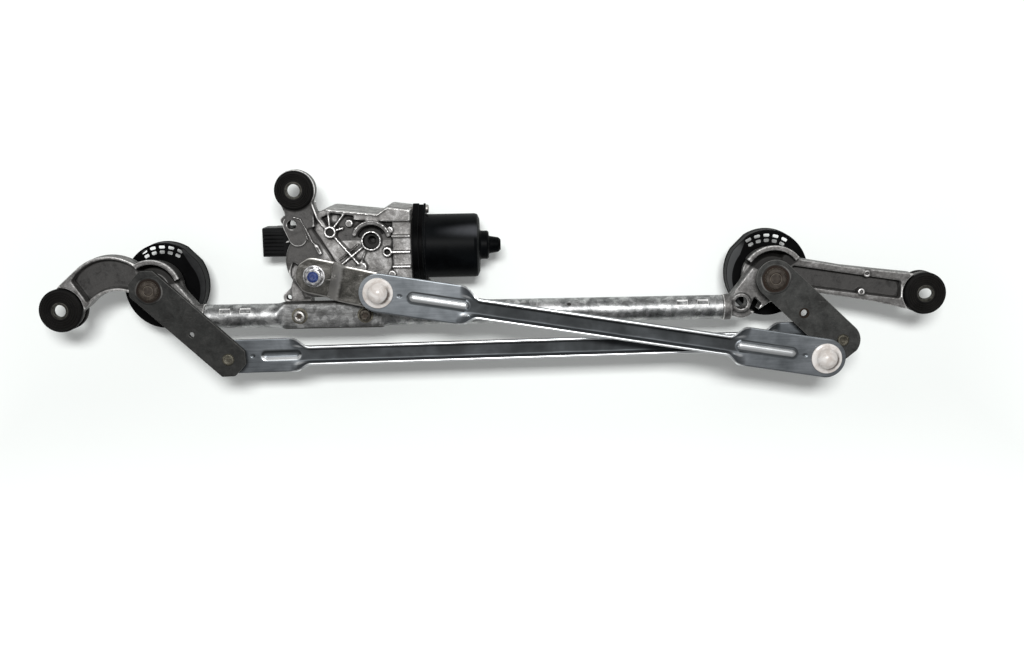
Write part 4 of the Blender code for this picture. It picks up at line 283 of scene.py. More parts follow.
def steelFinish(name, body, light, dark, roughness=0.32, rust=0.0, metallic=0.9):
    look = {"body": body, "light": light, "dark": dark, "rust": (0.030, 0.020, 0.013)}
    made = Finish(name, metallic=metallic)
    cloud = made.noise(260.0, 5.0, 0.65, 0.5)
    fine = made.noise(1800.0, 2.0, 0.6)
    colour = made.toned(cloud * 0.7 + fine * 0.3, look)
    rusty = (made.dirt + cloud * rust).above(0.45, 0.85)
    colour = made.mix(rusty, colour, look["rust"])
    bright = (made.edge * (0.4 + cloud)).above(0.3, 0.8)
    colour = made.mix(bright * 0.7, colour, tuple(min(channel * 1.8, 0.9) for channel in light))
    rough = roughness + 0.25 * cloud + 0.2 * rusty
    return made.wear(colour, rough, metallic - 0.5 * rusty, cloud * 0.6 + fine * 0.4, 0.00022, 0.4)


def rubberFinish():
    look = {"dark": (0.0008, 0.0008, 0.0008), "body": (0.0025, 0.0024, 0.0022),
            "light": (0.012, 0.011, 0.009), "worn": (0.018, 0.016, 0.014)}
    made = Finish("mountRubber", specular=0.12)
    dust = made.noise(120.0, 5.0, 0.65, 0.4)
    fine = made.noise(1400.0, 2.0, 0.6)
    colour = made.toned(dust * 0.7 + fine * 0.3, look, (0.38, 0.56, 0.75))
    worn = (made.edge * (0.4 + dust)).above(0.3, 0.9)
    colour = made.mix(worn * 0.5, colour, look["worn"])
    return made.wear(colour, 0.50 + 0.25 * dust, None, fine * 0.4 + dust * 0.6, 0.0003, 0.35)


def plasticFinish(name, body, light, roughness, grain=0.25):
    dust = (0.062, 0.064, 0.065)
    made = Finish(name, specular=0.03)
    cloud = made.noise(60.0, 4.0, 0.6, 0.3)
    fine = made.noise(2100.0, 2.0, 0.55)
    colour = made.ramp(cloud * 0.7 + fine * 0.3, ((0.38, body), (0.70, light)))
    # The dust mixed in here is real dust, and a painted sheen on the covers' end strips.
    dustAndSheen = (made.dirt * (0.6 + 0.8 * cloud)).above(0.15, 0.9)
    colour = made.mix(dustAndSheen, colour, dust)
    worn = (made.edge * (0.5 + cloud)).above(0.35, 0.9)
    colour = made.mix(worn * 0.5, colour, tuple(channel * 2.2 + 0.012 for channel in light))
    return made.wear(colour, roughness + 0.16 * cloud, None, fine, 0.00012, grain)


def paintFinish():
    look = {"body": (0.0010, 0.0012, 0.0015), "light": (0.0035, 0.0042, 0.0048), "worn": (0.05, 0.05, 0.05),
            "dust": (0.058, 0.060, 0.066)}
    made = Finish("yokePaint", specular=0.03)
    cloud = made.noise(45.0, 4.0, 0.6, 0.3)
    peel = made.noise(650.0, 2.0, 0.5)
    specks = made.noise(520.0, 2.0, 0.8)
    colour = made.ramp(cloud, ((0.35, look["body"]), (0.7, look["light"])))
    colour = made.mix(specks.above(0.72, 0.80) * 0.4, colour, look["worn"])
    worn = (made.edge * (0.4 + specks)).above(0.55, 0.95)
    colour = made.mix(worn * 0.4, colour, look["worn"])
    # The dust colour over this mark is a painted highlight band on the can.
    colour = made.mix((made.dirt * (0.7 + 0.6 * cloud)).above(0.1, 1.0), colour, look["dust"])
    return made.wear(colour, 0.36 + 0.14 * cloud, None, peel, 0.00012, 0.3)


def nylonFinish():
    look = {"ivory": (0.70, 0.675, 0.65), "warm": (0.52, 0.475, 0.44), "grime": (0.12, 0.10, 0.085)}
    made = Finish("socketNylon", specular=0.4, coat=0.2, coatRoughness=0.15)
    cloud = made.noise(95.0, 5.0, 0.62, 0.9)
    spots = made.noise(300.0, 4.0, 0.7, 0.6)
    colour = made.ramp(cloud, ((0.38, look["warm"]), (0.58, look["ivory"])))
    # Besides random grime spots, this mark is painted shade round the dome's foot and in a crescent on its
    # lower right.
    grime = (made.dirt * 0.8 + spots * 0.55).above(0.52, 0.95)
    colour = made.mix(grime, colour, look["grime"])
    return made.wear(colour, 0.20 + 0.25 * cloud + 0.25 * grime, None, cloud * 0.6 + spots * 0.4, 0.0002,
                     0.25)


def blueFinish():
    look = {"dark": (0.006, 0.012, 0.055), "body": (0.014, 0.032, 0.15), "light": (0.07, 0.11, 0.27)}
    made = Finish("bluePaint", specular=0.5)
    cloud = made.noise(500.0, 4.0, 0.65, 0.6)
    colour = made.toned(cloud, look, (0.36, 0.52, 0.70))
    return made.wear(colour, 0.30 + 0.3 * cloud, None, cloud, 0.0003, 0.5)


cast = castFinish("castAlloy", 0.80, 0.8)
gearCast = castFinish("gearAlloy", 1.15, 0.9)
tubeZinc = tubeFinish()
leverSteel = leverFinish("leverSteel", 0.42)
leverDark = leverFinish("leverDark", 0.27)
linkZinc = linkFinish()
crankZinc = crankFinish()
brightSteel = steelFinish("turnedSteel", (0.30, 0.29, 0.275), (0.50, 0.49, 0.47), (0.12, 0.115, 0.11))
brownSteel = steelFinish("brownedSteel", (0.034, 0.028, 0.022), (0.12, 0.105, 0.085), (0.012, 0.009, 0.007),
                         0.42, 0.3, 0.6)
rivetSteel = steelFinish("rivetSteel", (0.085, 0.078, 0.060), (0.22, 0.21, 0.17), (0.030, 0.026, 0.020),
                         0.38, 0.25, 0.8)
nutSteel = steelFinish("nutZinc", (0.26, 0.26, 0.265), (0.62, 0.62, 0.62), (0.08, 0.08, 0.085), 0.25)
sleeveSteel = steelFinish("sleeveSteel", (0.030, 0.029, 0.025), (0.07, 0.068, 0.060), (0.010, 0.010, 0.009),
                          0.45)
bronze = steelFinish("sinteredBronze", (0.27, 0.18, 0.085), (0.40, 0.28, 0.14), (0.12, 0.08, 0.04), 0.40)
ferrite = steelFinish("groundFerrite", (0.05, 0.05, 0.05), (0.08, 0.08, 0.08), (0.025, 0.025, 0.025), 0.6,
                      0.0, 0.2)
rubber = rubberFinish()
coverPlastic = plasticFinish("coverPlastic", (0.0007, 0.0007, 0.0008), (0.003, 0.0031, 0.0033), 0.42)
plugPlastic = plasticFinish("plugPlastic", (0.0010, 0.0011, 0.0011), (0.003, 0.0031, 0.0033), 0.30, 0.15)
yokePaint = paintFinish()
nylon = nylonFinish()
bluePaint = blueFinish()
print("materials made")


def ease(value, low, high):  # smooth step from 0 to 1, on whole arrays
    part = np.clip((value - low) / (high - low), 0.0, 1.0)
    return part * part * (3.0 - 2.0 * part)


def netFaces(rows, columns, closedRows=False, closedColumns=False):
    i = np.arange(rows if closedRows else rows - 1)[:, None]
    j = np.arange(columns if closedColumns else columns - 1)[None, :]
    nextI, nextJ = (i + 1) % rows, (j + 1) % columns
    corners = (i * columns + j, nextI * columns + j, nextI * columns + nextJ, i * columns + nextJ)
    return np.stack(np.broadcast_arrays(*corners), -1).reshape(-1, 4)


class Skin:  # vertices, faces and marks of one surface, kept as arrays until it becomes a mesh
    def __init__(self, points, faces, edge=0.0, dirt=0.0):
        self.points = np.asarray(points, float).reshape(-1, 3)
        self.faces = [np.asarray(faces, int)] if len(faces) else []
        self.marks = {"edge": self.spread(edge), "dirt": self.spread(dirt)}

    def spread(self, value):
        return np.broadcast_to(np.asarray(value, float).ravel() if np.ndim(value) else value,
                               (len(self.points),)).copy()

    def __add__(self, other):
        both = Skin(np.vstack([self.points, other.points]), [])
        both.faces = self.faces + [block + len(self.points) for block in other.faces]
        both.marks = {key: np.concatenate([self.marks[key], other.marks[key]]) for key in self.marks}
        return both

    def moved(self, x=0.0, y=0.0, z=0.0):
        self.points = self.points + np.array([x, y, z])
        return self

    def turned(self, degrees, axis="z"):  # about one axis through the origin
        c, s = math.cos(math.radians(degrees)), math.sin(math.radians(degrees))
        first, second = {"x": (1, 2), "y": (2, 0), "z": (0, 1)}[axis]
        a, b = self.points[:, first].copy(), self.points[:, second].copy()
        self.points[:, first] = a * c - b * s
        self.points[:, second] = a * s + b * c
        return self


def makePiece(name, skin, finish, body, stands=(), smooth=38.0, merge=True):
    mesh = bpy.data.meshes.new(name)
    points = skin.points / 1000.0 + middle
    faces = [tuple(face) for block in skin.faces for face in block.tolist()]
    mesh.from_pydata(points.tolist(), [], faces)
    for key, values in skin.marks.items():
        mark = mesh.attributes.new(key, "FLOAT", "POINT")
        mark.data.foreach_set("value", np.clip(values, 0.0, 1.0).astype(np.float32))
    if merge:
        work = bmesh.new()
        work.from_mesh(mesh)
        bmesh.ops.remove_doubles(work, verts=work.verts, dist=2e-6)
        bmesh.ops.dissolve_degenerate(work, dist=1e-7, edges=work.edges)
        bmesh.ops.recalc_face_normals(work, faces=work.faces)
        work.to_mesh(mesh)
        work.free()
    mesh.shade_smooth()
    mesh.set_sharp_from_angle(angle=math.radians(smooth))
    piece = bpy.data.objects.new(name, mesh)
    bpy.context.scene.collection.objects.link(piece)
    mesh.materials.append(finish)
    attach(piece, body)
    if stands:
        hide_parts(*stands)


def rounded(points, radius, steps=4, closed=True):
    # Each corner becomes an arc that touches both of its sides; short sides get smaller arcs.
    points = [np.asarray(p, float) for p in points]
    count = len(points)
    result = []
    for i, here in enumerate(points):
        if not closed and i in (0, count - 1):
            result.append(here)
            continue
        before, after = points[i - 1] - here, points[(i + 1) % count] - here
        lengthA, lengthB = np.linalg.norm(before), np.linalg.norm(after)
        before, after = before / lengthA, after / lengthB
        angle = math.acos(float(np.clip(before @ after, -1.0, 1.0)))
        size = radius[i] if np.ndim(radius) else radius
        if angle > math.radians(176.0) or size <= 0.0:
            result.append(here)
            continue
        reach = min(size / math.tan(angle / 2), 0.48 * lengthA, 0.48 * lengthB)
        start, end = here + before * reach, here + after * reach
        for t in np.linspace(0.0, 1.0, steps + 1):
            result.append((1 - t) ** 2 * start + 2 * t * (1 - t) * here + t ** 2 * end)
    return np.array(result)


def ring(radius, sides=96, centre=(0.0, 0.0), start=0.0):
    angles = np.radians(start) + np.arange(sides) * 2.0 * math.pi / sides
    return np.stack([centre[0] + radius * np.cos(angles), centre[1] + radius * np.sin(angles)], 1)


def bow(radius, low, high, steps=12, centre=(0.0, 0.0)):
    angles = np.radians(np.linspace(low, high, steps + 1))
    return np.stack([centre[0] + radius * np.cos(angles), centre[1] + radius * np.sin(angles)], 1)


def rectangle(left, front, right, rear):
    return [(left, front), (right, front), (right, rear), (left, rear)]


def belt(circles, sides=72):  # outline of a belt round circles of x, y, radius
    cloud = np.vstack([ring(r, sides, (x, y)) for x, y, r in circles])
    cloud = cloud[np.lexsort((cloud[:, 1], cloud[:, 0]))]

    def half(ordered):
        chain = []
        for p in ordered:
            while len(chain) > 1:
                a, b = chain[-1] - chain[-2], p - chain[-2]
                if a[0] * b[1] - a[1] * b[0] > 1e-9:
                    break
                chain.pop()
            chain.append(p)
        return chain[:-1]

    return np.array(half(cloud) + half(cloud[::-1]))


def lathe(profile, sides=72, soften=0.4, closed=False, lobes=None, steps=3, edge=None):
    # Profile of radius and height, its corners rounded, carried round Z; lobes may swell the radius by angle.
    line = rounded(profile, soften, steps, closed)
    angles = np.arange(sides) * 2.0 * math.pi / sides
    radius, height = np.broadcast_to(line[:, 0][:, None], (len(line), sides)), line[:, 1][:, None]
    if lobes is not None:
        radius, height = lobes(radius, height, angles[None, :])
    points = np.stack(np.broadcast_arrays(radius * np.cos(angles), radius * np.sin(angles), height), -1)
    marks = cornerMarks(line, closed)[:, None] * np.ones((1, sides))
    return Skin(points, netFaces(len(line), sides, closed, True), marks if edge is None else edge)


def cornerMarks(line, closed):
    # How sharply a profile turns at each point, so that worn edges can be found.
    ahead = np.roll(line, -1, 0) - line
    behind = line - np.roll(line, 1, 0)
    cross = behind[:, 0] * ahead[:, 1] - behind[:, 1] * ahead[:, 0]
    dot = (behind * ahead).sum(1)
    turn = np.abs(np.arctan2(cross, dot))
    if not closed:
        turn[0] = turn[-1] = 0.0
    return np.clip(turn / math.radians(24.0), 0.0, 1.0)


def offsetRing(outline, distance):
    # Moves each point along the bisector of its two sides; positive is outwards on a counter-clockwise ring.
    ahead = np.roll(outline, -1, 0) - outline
    behind = outline - np.roll(outline, 1, 0)
    ahead = ahead / np.maximum(np.linalg.norm(ahead, axis=1, keepdims=True), 1e-9)
    behind = behind / np.maximum(np.linalg.norm(behind, axis=1, keepdims=True), 1e-9)
    normal = np.stack([ahead[:, 1] + behind[:, 1], -(ahead[:, 0] + behind[:, 0])], 1)
    normal = normal / np.maximum(np.linalg.norm(normal, axis=1, keepdims=True), 1e-9)
    stretch = np.clip((normal[:, 0] * ahead[:, 1] - normal[:, 1] * ahead[:, 0]), 0.5, 1.0)
    return outline + normal * (distance / stretch)[:, None]


def ringArea(outline):
    x, y = outline[:, 0], outline[:, 1]
    return 0.5 * float(np.sum(x * np.roll(y, -1) - np.roll(x, -1) * y))


def plate(outline, holes, low, high, bevel=0.5, steps=3, dirt=0.0):
    # A rounded edge band carried along each outline, closed above and below by flat filled faces;
    # the band starts on the flat, so that the flat keeps its own normals.
    quarter = np.linspace(0.0, math.pi / 2, steps + 1)
    flat = [bevel + 0.3]
    insets = np.concatenate([flat, bevel * (1 - np.sin(quarter)), bevel * (1 - np.cos(quarter)), flat])
    heights = np.concatenate([[high], high - bevel * (1 - np.cos(quarter)),
                              low + bevel * (1 - np.sin(quarter)), [low]])
    result = None
    tops = []
    for number, loop in enumerate([outline] + list(holes)):
        loop = np.asarray(loop, float)
        if (ringArea(loop) > 0) != (number == 0):
            loop = loop[::-1]
        rows = np.stack([np.column_stack([offsetRing(loop, -inset), np.full(len(loop), height)])
                         for inset, height in zip(insets, heights)])
        shine = np.where((insets > 0) & (insets < bevel), 0.9, 0.2)[:, None] * np.ones((1, len(loop)))
        band = Skin(rows, netFaces(len(rows), len(loop), False, True), shine, dirt)
        tops.append((rows[0], rows[-1]))
        result = band if result is None else result + band
    for side in (0, 1):
        loops = [pair[side] for pair in tops]
        flat = np.vstack(loops)
        faces = np.array(tessellate_polygon([[tuple(p) for p in loop] for loop in loops]))
        result = result + Skin(flat, faces, 0.2, dirt)
    return result


class Casting:  # solid where its distance field is below nought, sampled on a block of points
    def __init__(self, low, high, step, heights=None):
        self.axes = [np.arange(low[0], high[0], step, dtype=np.float32),
                     np.arange(low[1], high[1], step, dtype=np.float32), np.asarray(heights, np.float32)]
        self.x = self.axes[0][:, None, None]
        self.y = self.axes[1][None, :, None]
        self.z = self.axes[2][None, None, :]
        self.flatX, self.flatY = np.meshgrid(self.axes[0], self.axes[1], indexing="ij")
        self.body = np.full((len(self.axes[0]), len(self.axes[1]), len(self.axes[2])), 50.0, np.float32)

    def toSides(self, points, closed):  # distance to the nearest side of a plan line
        points = np.asarray(points, np.float32)
        best = np.full(self.flatX.shape, 1e9, np.float32)
        ends = np.roll(points, -1, 0) if closed else points[1:]
        for (ax, ay), (bx, by) in zip(points, ends):
            ux, uy = bx - ax, by - ay
            part = ((self.flatX - ax) * ux + (self.flatY - ay) * uy) / (ux * ux + uy * uy + 1e-9)
            part = np.clip(part, 0, 1)
            best = np.minimum(best, np.hypot(self.flatX - ax - part * ux, self.flatY - ay - part * uy))
        return best

    def outline(self, points):  # below nought inside, found by counting crossings
        points = np.asarray(points, np.float32)
        inside = np.zeros(self.flatX.shape, bool)
        for (ax, ay), (bx, by) in zip(points, np.roll(points, -1, 0)):
            if ay != by:
                crossing = (self.flatY < ay) != (self.flatY < by)
                inside ^= crossing & (self.flatX < ax + (self.flatY - ay) * ((bx - ax) / (by - ay)))
        away = self.toSides(points, True)
        return np.where(inside, -away, away)

    def disc(self, x, y, radius):
        return np.hypot(self.flatX - x, self.flatY - y) - radius

    def stroke(self, points, width):
        return self.toSides(points, False) - width / 2

    def joined(self, side, cap, soft):  # side wall and end faces meet in a rounded edge
        side, cap = side + soft, cap + soft
        return np.minimum(np.maximum(side, cap), 0) + np.hypot(np.maximum(side, 0), np.maximum(cap, 0)) - soft

    def raised(self, flat, low, high, soft=0.7, draft=0.0):
        return self.joined(flat[:, :, None] + draft * (self.z - low), np.maximum(low - self.z, self.z - high),
                           soft)

    def spun(self, x, y, line, soft=0.7):  # line of height and radius, upwards
        radius = np.interp(self.z, [height for height, _ in line], [r for _, r in line])
        side = np.hypot(self.x - x, self.y - y) - radius
        return self.joined(side, np.maximum(line[0][0] - self.z, self.z - line[-1][0]), soft)

    def rod(self, y, z, radius, start, end, soft=0.5):  # round bar along X
        return self.joined(np.hypot(self.y - y, self.z - z) - radius,
                           np.maximum(start - self.x, self.x - end), soft)

    def add(self, shape, fillet=1.5):  # union; the fillet grows where both surfaces are near
        near = np.maximum(fillet - np.abs(self.body - shape), 0.0) / fillet
        self.body = np.minimum(self.body, shape) - near * near * fillet * 0.25

    def cut(self, shape, rim=0.8):  # difference with a rounded rim
        near = np.maximum(rim - np.abs(self.body + shape), 0.0) / rim
        self.body = np.maximum(self.body, -shape) + near * near * rim * 0.25

    def addBlock(self, points, low, high, soft=0.7, draft=0.0, fillet=1.5):
        self.add(self.raised(self.outline(points), low, high, soft, draft), fillet)

    def cutBlock(self, points, low, high, soft=0.7, rim=0.8, draft=0.0):
        self.cut(self.raised(self.outline(points), low, high, soft, draft), rim)

    def addDisc(self, x, y, radius, low, high, soft=0.7, draft=0.0, fillet=1.5):
        self.add(self.raised(self.disc(x, y, radius), low, high, soft, draft), fillet)

    def cutDisc(self, x, y, radius, low, high, soft=0.7, rim=0.8):
        self.cut(self.raised(self.disc(x, y, radius), low, high, soft), rim)

    def skin(self):
        # One point in each cell that the surface crosses, at the mean of the crossings on the cell's edges,
        # and one face across each grid edge that the surface crosses. Marks come from how much solid is near:
        # little solid marks worn edges, much solid marks hollows and corners, which get painted shade.
        values = self.body
        inside = values < 0.0
        n = np.array(values.shape) - 1
        corners = [(i, j, k) for i in (0, 1) for j in (0, 1) for k in (0, 1)]
        filled = sum(inside[i:n[0] + i, j:n[1] + j, k:n[2] + k].astype(np.int8) for i, j, k in corners)
        active = (filled > 0) & (filled < 8)
        cells = np.argwhere(active)
        index = np.full(tuple(n), -1, np.int64)
        index[active] = np.arange(len(cells))
        value = {c: values[cells[:, 0] + c[0], cells[:, 1] + c[1], cells[:, 2] + c[2]] for c in corners}
        total, crossings = np.zeros((len(cells), 3)), np.zeros(len(cells))
        for a in corners:
            for axis in range(3):
                if a[axis]:
                    continue
                b = tuple(1 if k == axis else a[k] for k in range(3))
                crossed = (value[a] < 0) != (value[b] < 0)
                part = value[a] / np.where(crossed, value[a] - value[b], 1.0)
                for k in range(3):
                    total[:, k] += np.where(crossed, a[k] + (part if k == axis else 0.0), 0.0)
                crossings += crossed
        spots = cells + total / crossings[:, None]
        points = np.stack([np.interp(spots[:, k], np.arange(n[k] + 1), self.axes[k]) for k in range(3)], 1)
        faces = []
        for axis in range(3):
            u, v = (axis + 1) % 3, (axis + 2) % 3
            start = [slice(None)] * 3
            start[axis] = slice(0, -1)
            ahead = [slice(None)] * 3
            ahead[axis] = slice(1, None)
            lower, upper = inside[tuple(start)], inside[tuple(ahead)]
            edges = np.argwhere(lower != upper)
            edges = edges[(edges[:, u] > 0) & (edges[:, v] > 0) & (edges[:, u] < n[u]) & (edges[:, v] < n[v])]
            quad = []
            for du, dv in ((1, 1), (0, 1), (0, 0), (1, 0)):
                cell = edges.copy()
                cell[:, u] -= du
                cell[:, v] -= dv
                quad.append(index[cell[:, 0], cell[:, 1], cell[:, 2]])
            quad = np.stack(quad, 1)
            outward = lower[edges[:, 0], edges[:, 1], edges[:, 2]]
            faces.append(np.where(outward[:, None], quad, quad[:, ::-1]))
        near, wide = np.zeros(len(cells)), np.zeros(len(cells))
        solid = np.clip(0.5 - values / 0.7, 0.0, 1.0)
        for total, field in ((near, blurred(solid, 2)), (wide, blurred(solid, 6))):
            for corner in corners:  # read between the points of the grid
                weight = np.prod(np.abs(1.0 - np.array(corner) - (spots - cells)), 1)
                total += weight * field[tuple((cells + corner).T)]
        return Skin(points, np.vstack(faces), (0.44 - near) * 5.0, (wide - 0.54) * 3.0 + (near - 0.56) * 2.0)


def blurred(inside, reach):  # share of solid in the block round each point
    result = inside.astype(np.float32)
    for axis in range(3):
        result = np.moveaxis(result, axis, 0)
        padded = np.concatenate([np.zeros((reach + 1, *result.shape[1:]), np.float32), result,
                                 np.zeros((reach, *result.shape[1:]), np.float32)])
        sums = np.cumsum(padded, 0)
        result = (sums[2 * reach + 1:] - sums[:-2 * reach - 1]) / (2 * reach + 1)
        result = np.moveaxis(result, 0, axis)
    return result


def spread(values, fine, coarse, change):  # heights, coarse up to the change and fine above it
    low, high = values
    return np.concatenate([np.arange(low, change, coarse), np.arange(change, high, fine)])


def polar(radius, degrees, centre=(0.0, 0.0)):
    turn = math.radians(degrees)
    return centre[0] + radius * math.cos(turn), centre[1] + radius * math.sin(turn)


# Both pivot housings: turned sleeve with floor, guard wall, foot plate with tube plug, and the mount eye.
def housingCore(casting, way, tubeEnd, tubeY, guard, floorRadius):
    core = {"sleeveLow": 26.0, "sleeveTop": 84.2, "collarLow": 50.4, "floor": (58.0, 66.0), "guardTop": 86.0,
            "guardWall": 4.2, "guardInset": 1.4, "lip": 3.4, "foot": 12.5, "footInset": 17.0, "footHole": 5.6,
            "tubeAxis": 70.0, "shoulder": 11.8, "plug": 9.1, "plugReach": 10.0}
    casting.add(casting.spun(0, 0, [(core["sleeveLow"], 11.5), (core["collarLow"], 12.5), (78.0, 12.6),
                                    (core["sleeveTop"], 11.0)]), 1.0)
    casting.add(casting.spun(0, 0, [(core["collarLow"], 15.4), (66.5, 15.0), (74.0, 12.8)]), 2.0)
    casting.addDisc(0, 0, floorRadius, *core["floor"], fillet=2.5)
    radius, start, end = guard
    for wall, low in ((core["guardInset"], core["floor"][0] + 1),
                      (core["guardWall"], core["guardTop"] - core["lip"])):
        band = np.vstack([bow(radius, start, end, 30), bow(radius + wall, end, start, 30)])
        casting.addBlock(band, low, core["guardTop"], 1.0, fillet=0.6)
    hubX, hubY = tubeEnd - way * core["footInset"], tubeY + 2.5
    holeX, holeY, axis = hubX + way * 0.5, hubY + 2.0, core["tubeAxis"]
    casting.addBlock(belt([(hubX, hubY, core["foot"]), (0.0, 0.0, 19.0)]), axis - 9, axis + 6.5, 1.0,
                     fillet=3.0)
    casting.addDisc(holeX, holeY, core["footHole"] + 3.2, axis - 9, axis + 8.6, 0.9, fillet=2.0)
    for radius, reach, fillet in ((core["shoulder"], -0.4, 2.5), (core["plug"], core["plugReach"], 0.6)):
        ends = sorted((tubeEnd - way * 8, tubeEnd + way * reach))
        casting.add(casting.rod(tubeY, axis, radius, *ends, 0.8), fillet)
    casting.cutDisc(holeX, holeY, core["footHole"], axis - 20, axis + 20)
    window = rounded([(hubX - way * 7.0, hubY - 5.0), (hubX - way * 12.0, hubY + 7.5),
                      (hubX - way * 18.5, hubY + 1.0), (hubX - way * 13.5, hubY - 7.0)], 1.6)
    casting.cutBlock(window, axis - 20, axis + 20)


def shadeUnderGuard(skin, guard, web):
    # Painted shade on the guard's wall under its lip and on the floor, fading out past both ends of the
    # guard, and the sunk web a little darker.
    x, y, height = skin.points.T
    radius, start, end = guard
    away = np.hypot(x, y)
    turn = np.degrees(np.arctan2(y, x)) - (start + end) / 2
    past = np.abs((turn + 180.0) % 360.0 - 180.0) - (end - start) / 2
    shadow = ease(away, 13.5, 15.0) * (1 - ease(away, radius + 2.0, radius + 5.0))
    shadow *= 1 - ease(past, 2.0, 14.0)
    shadow *= ease(height, 56.0, 58.0) * (1 - ease(height, 81.0, 83.0))
    skin.marks["dirt"] = np.maximum(skin.marks["dirt"], 0.9 * shadow)
    skin.marks["dirt"] = np.maximum(skin.marks["dirt"], 0.52 * (np.abs(height - web) < 0.7))
    skin.marks["edge"] = skin.marks["edge"] * (1 - shadow)
    return skin


def housingEye(casting, x, y, grommet, bore):
    eye = {"ring": 18.5, "hole": 13.0, "low": 64.0, "top": 74.0, "gap": 1.0}
    casting.addDisc(x, y, eye["ring"], eye["low"], eye["top"], 0.8)
    for low, high in ((eye["top"], eye["top"] + 20), (eye["low"] - 9.6, eye["low"])):
        casting.cutDisc(x, y, grommet + eye["gap"], low, high, 0.2, 0.5)
    casting.cutDisc(x, y, eye["hole"], eye["low"] - 10, eye["top"] + 10, 0.2, 0.5)
    if bore:
        casting.cutDisc(0, 0, bore, 0, 100, 0.2)


def buildLeftHousing():
    arm = {"crown": (-40.5, -12.0), "crownRadius": 42.8, "belly": (-33.5, -35.0), "bellyRadius": 33.0,
           "low": 62.0, "top": 78.0, "web": 68.0, "rim": 3.8, "soft": 1.1, "guard": (23.0, 20.0, 124.0)}
    eye = eyes["left"] - leftPivot
    tube = boxOf("frame_tube")
    casting = Casting((eye[0] - 21, -44), (54, 36), 0.68, spread((24, 89), 0.66, 1.3, 56))
    shape = [polar(17.9, 131.0, eye), *bow(arm["crownRadius"], 131.0, 56.0, 20, arm["crown"]), (-9.0, 12.0),
             (-9.0, -9.0), *bow(arm["bellyRadius"], 60.0, 141.0, 20, arm["belly"]),
             (eye[0] + 8.0, eye[1] - 10.0)]
    casting.addBlock(shape, arm["low"], arm["top"], arm["soft"], 0.03, 2.5)
    pocket = [*bow(arm["crownRadius"] - arm["rim"], 149.0, 54.0, 20, arm["crown"]),
              *bow(arm["bellyRadius"] + arm["rim"], 58.0, 139.0, 20, arm["belly"])]
    casting.cutBlock(rounded(pocket, 2.0, 2), arm["web"], 95, 1.2, 1.5, -0.05)
    housingCore(casting, 1, tube[0][0] - leftPivot[0], tubeLine - leftPivot[1], arm["guard"], 24.0)
    housingEye(casting, *eye, 20.0, 8.4)
    skin = shadeUnderGuard(casting.skin(), arm["guard"], arm["web"])
    makePiece("leftPivotHousing", skin.moved(*leftPivot), cast, "frame", ["left_pivot_housing"], 44.0, False)


def buildRightHousing():
    arm = {"low": 62.0, "top": 78.0, "web": 70.0, "soft": 1.1, "pads": ((-53.2, 19.1), (-58.0, 2.5)),
           "padRadius": 3.2, "padHole": 1.2, "guard": (25.0, 38.0, 145.0)}
    ex, ey = eyes["right"] - rightPivot
    tube = boxOf("frame_tube")
    casting = Casting((-56, -44), (ex + 21, 36), 0.72, spread((24, 89), 0.68, 1.3, 56))
    shape = [(8.0, 23.0), (25.0, 16.0), (64.0, 8.8), (ex - 42.8, ey + 22.4), (ex - 10.0, ey + 18.5),
             (ex, ey + 1.0), (ex - 12.0, ey - 15.7), (ex - 47.0, ey - 7.0), (44.0, -16.5), (10.0, -12.0)]
    casting.addBlock(rounded(shape, 6.0, 6), arm["low"], arm["top"], arm["soft"], 0.03, 2.5)
    pocket = [(18.0, 9.6), (ex - 22.4, ey + 11.4), (ex - 22.4, ey - 4.0), (18.0, -7.6)]
    casting.cutBlock(rounded(pocket, 3.0), arm["web"], 95, 1.2, 1.5, -0.05)
    housingCore(casting, -1, tube[1][0] - rightPivot[0], tubeLine - rightPivot[1], arm["guard"], 25.0)
    for dx, dy in arm["pads"]:
        casting.addDisc(ex + dx, ey + dy, arm["padRadius"], arm["low"], arm["top"] + 0.9, 0.4, fillet=0.8)
        casting.cutDisc(ex + dx, ey + dy, arm["padHole"], arm["top"] - 1.5, 95, 0.2, 0.5)
    housingEye(casting, ex, ey, 19.2, 8.4)
    skin = shadeUnderGuard(casting.skin(), arm["guard"], arm["web"])
    makePiece("rightPivotHousing", skin.moved(*rightPivot), cast, "frame", ["right_pivot_housing"], 44.0,
              False)


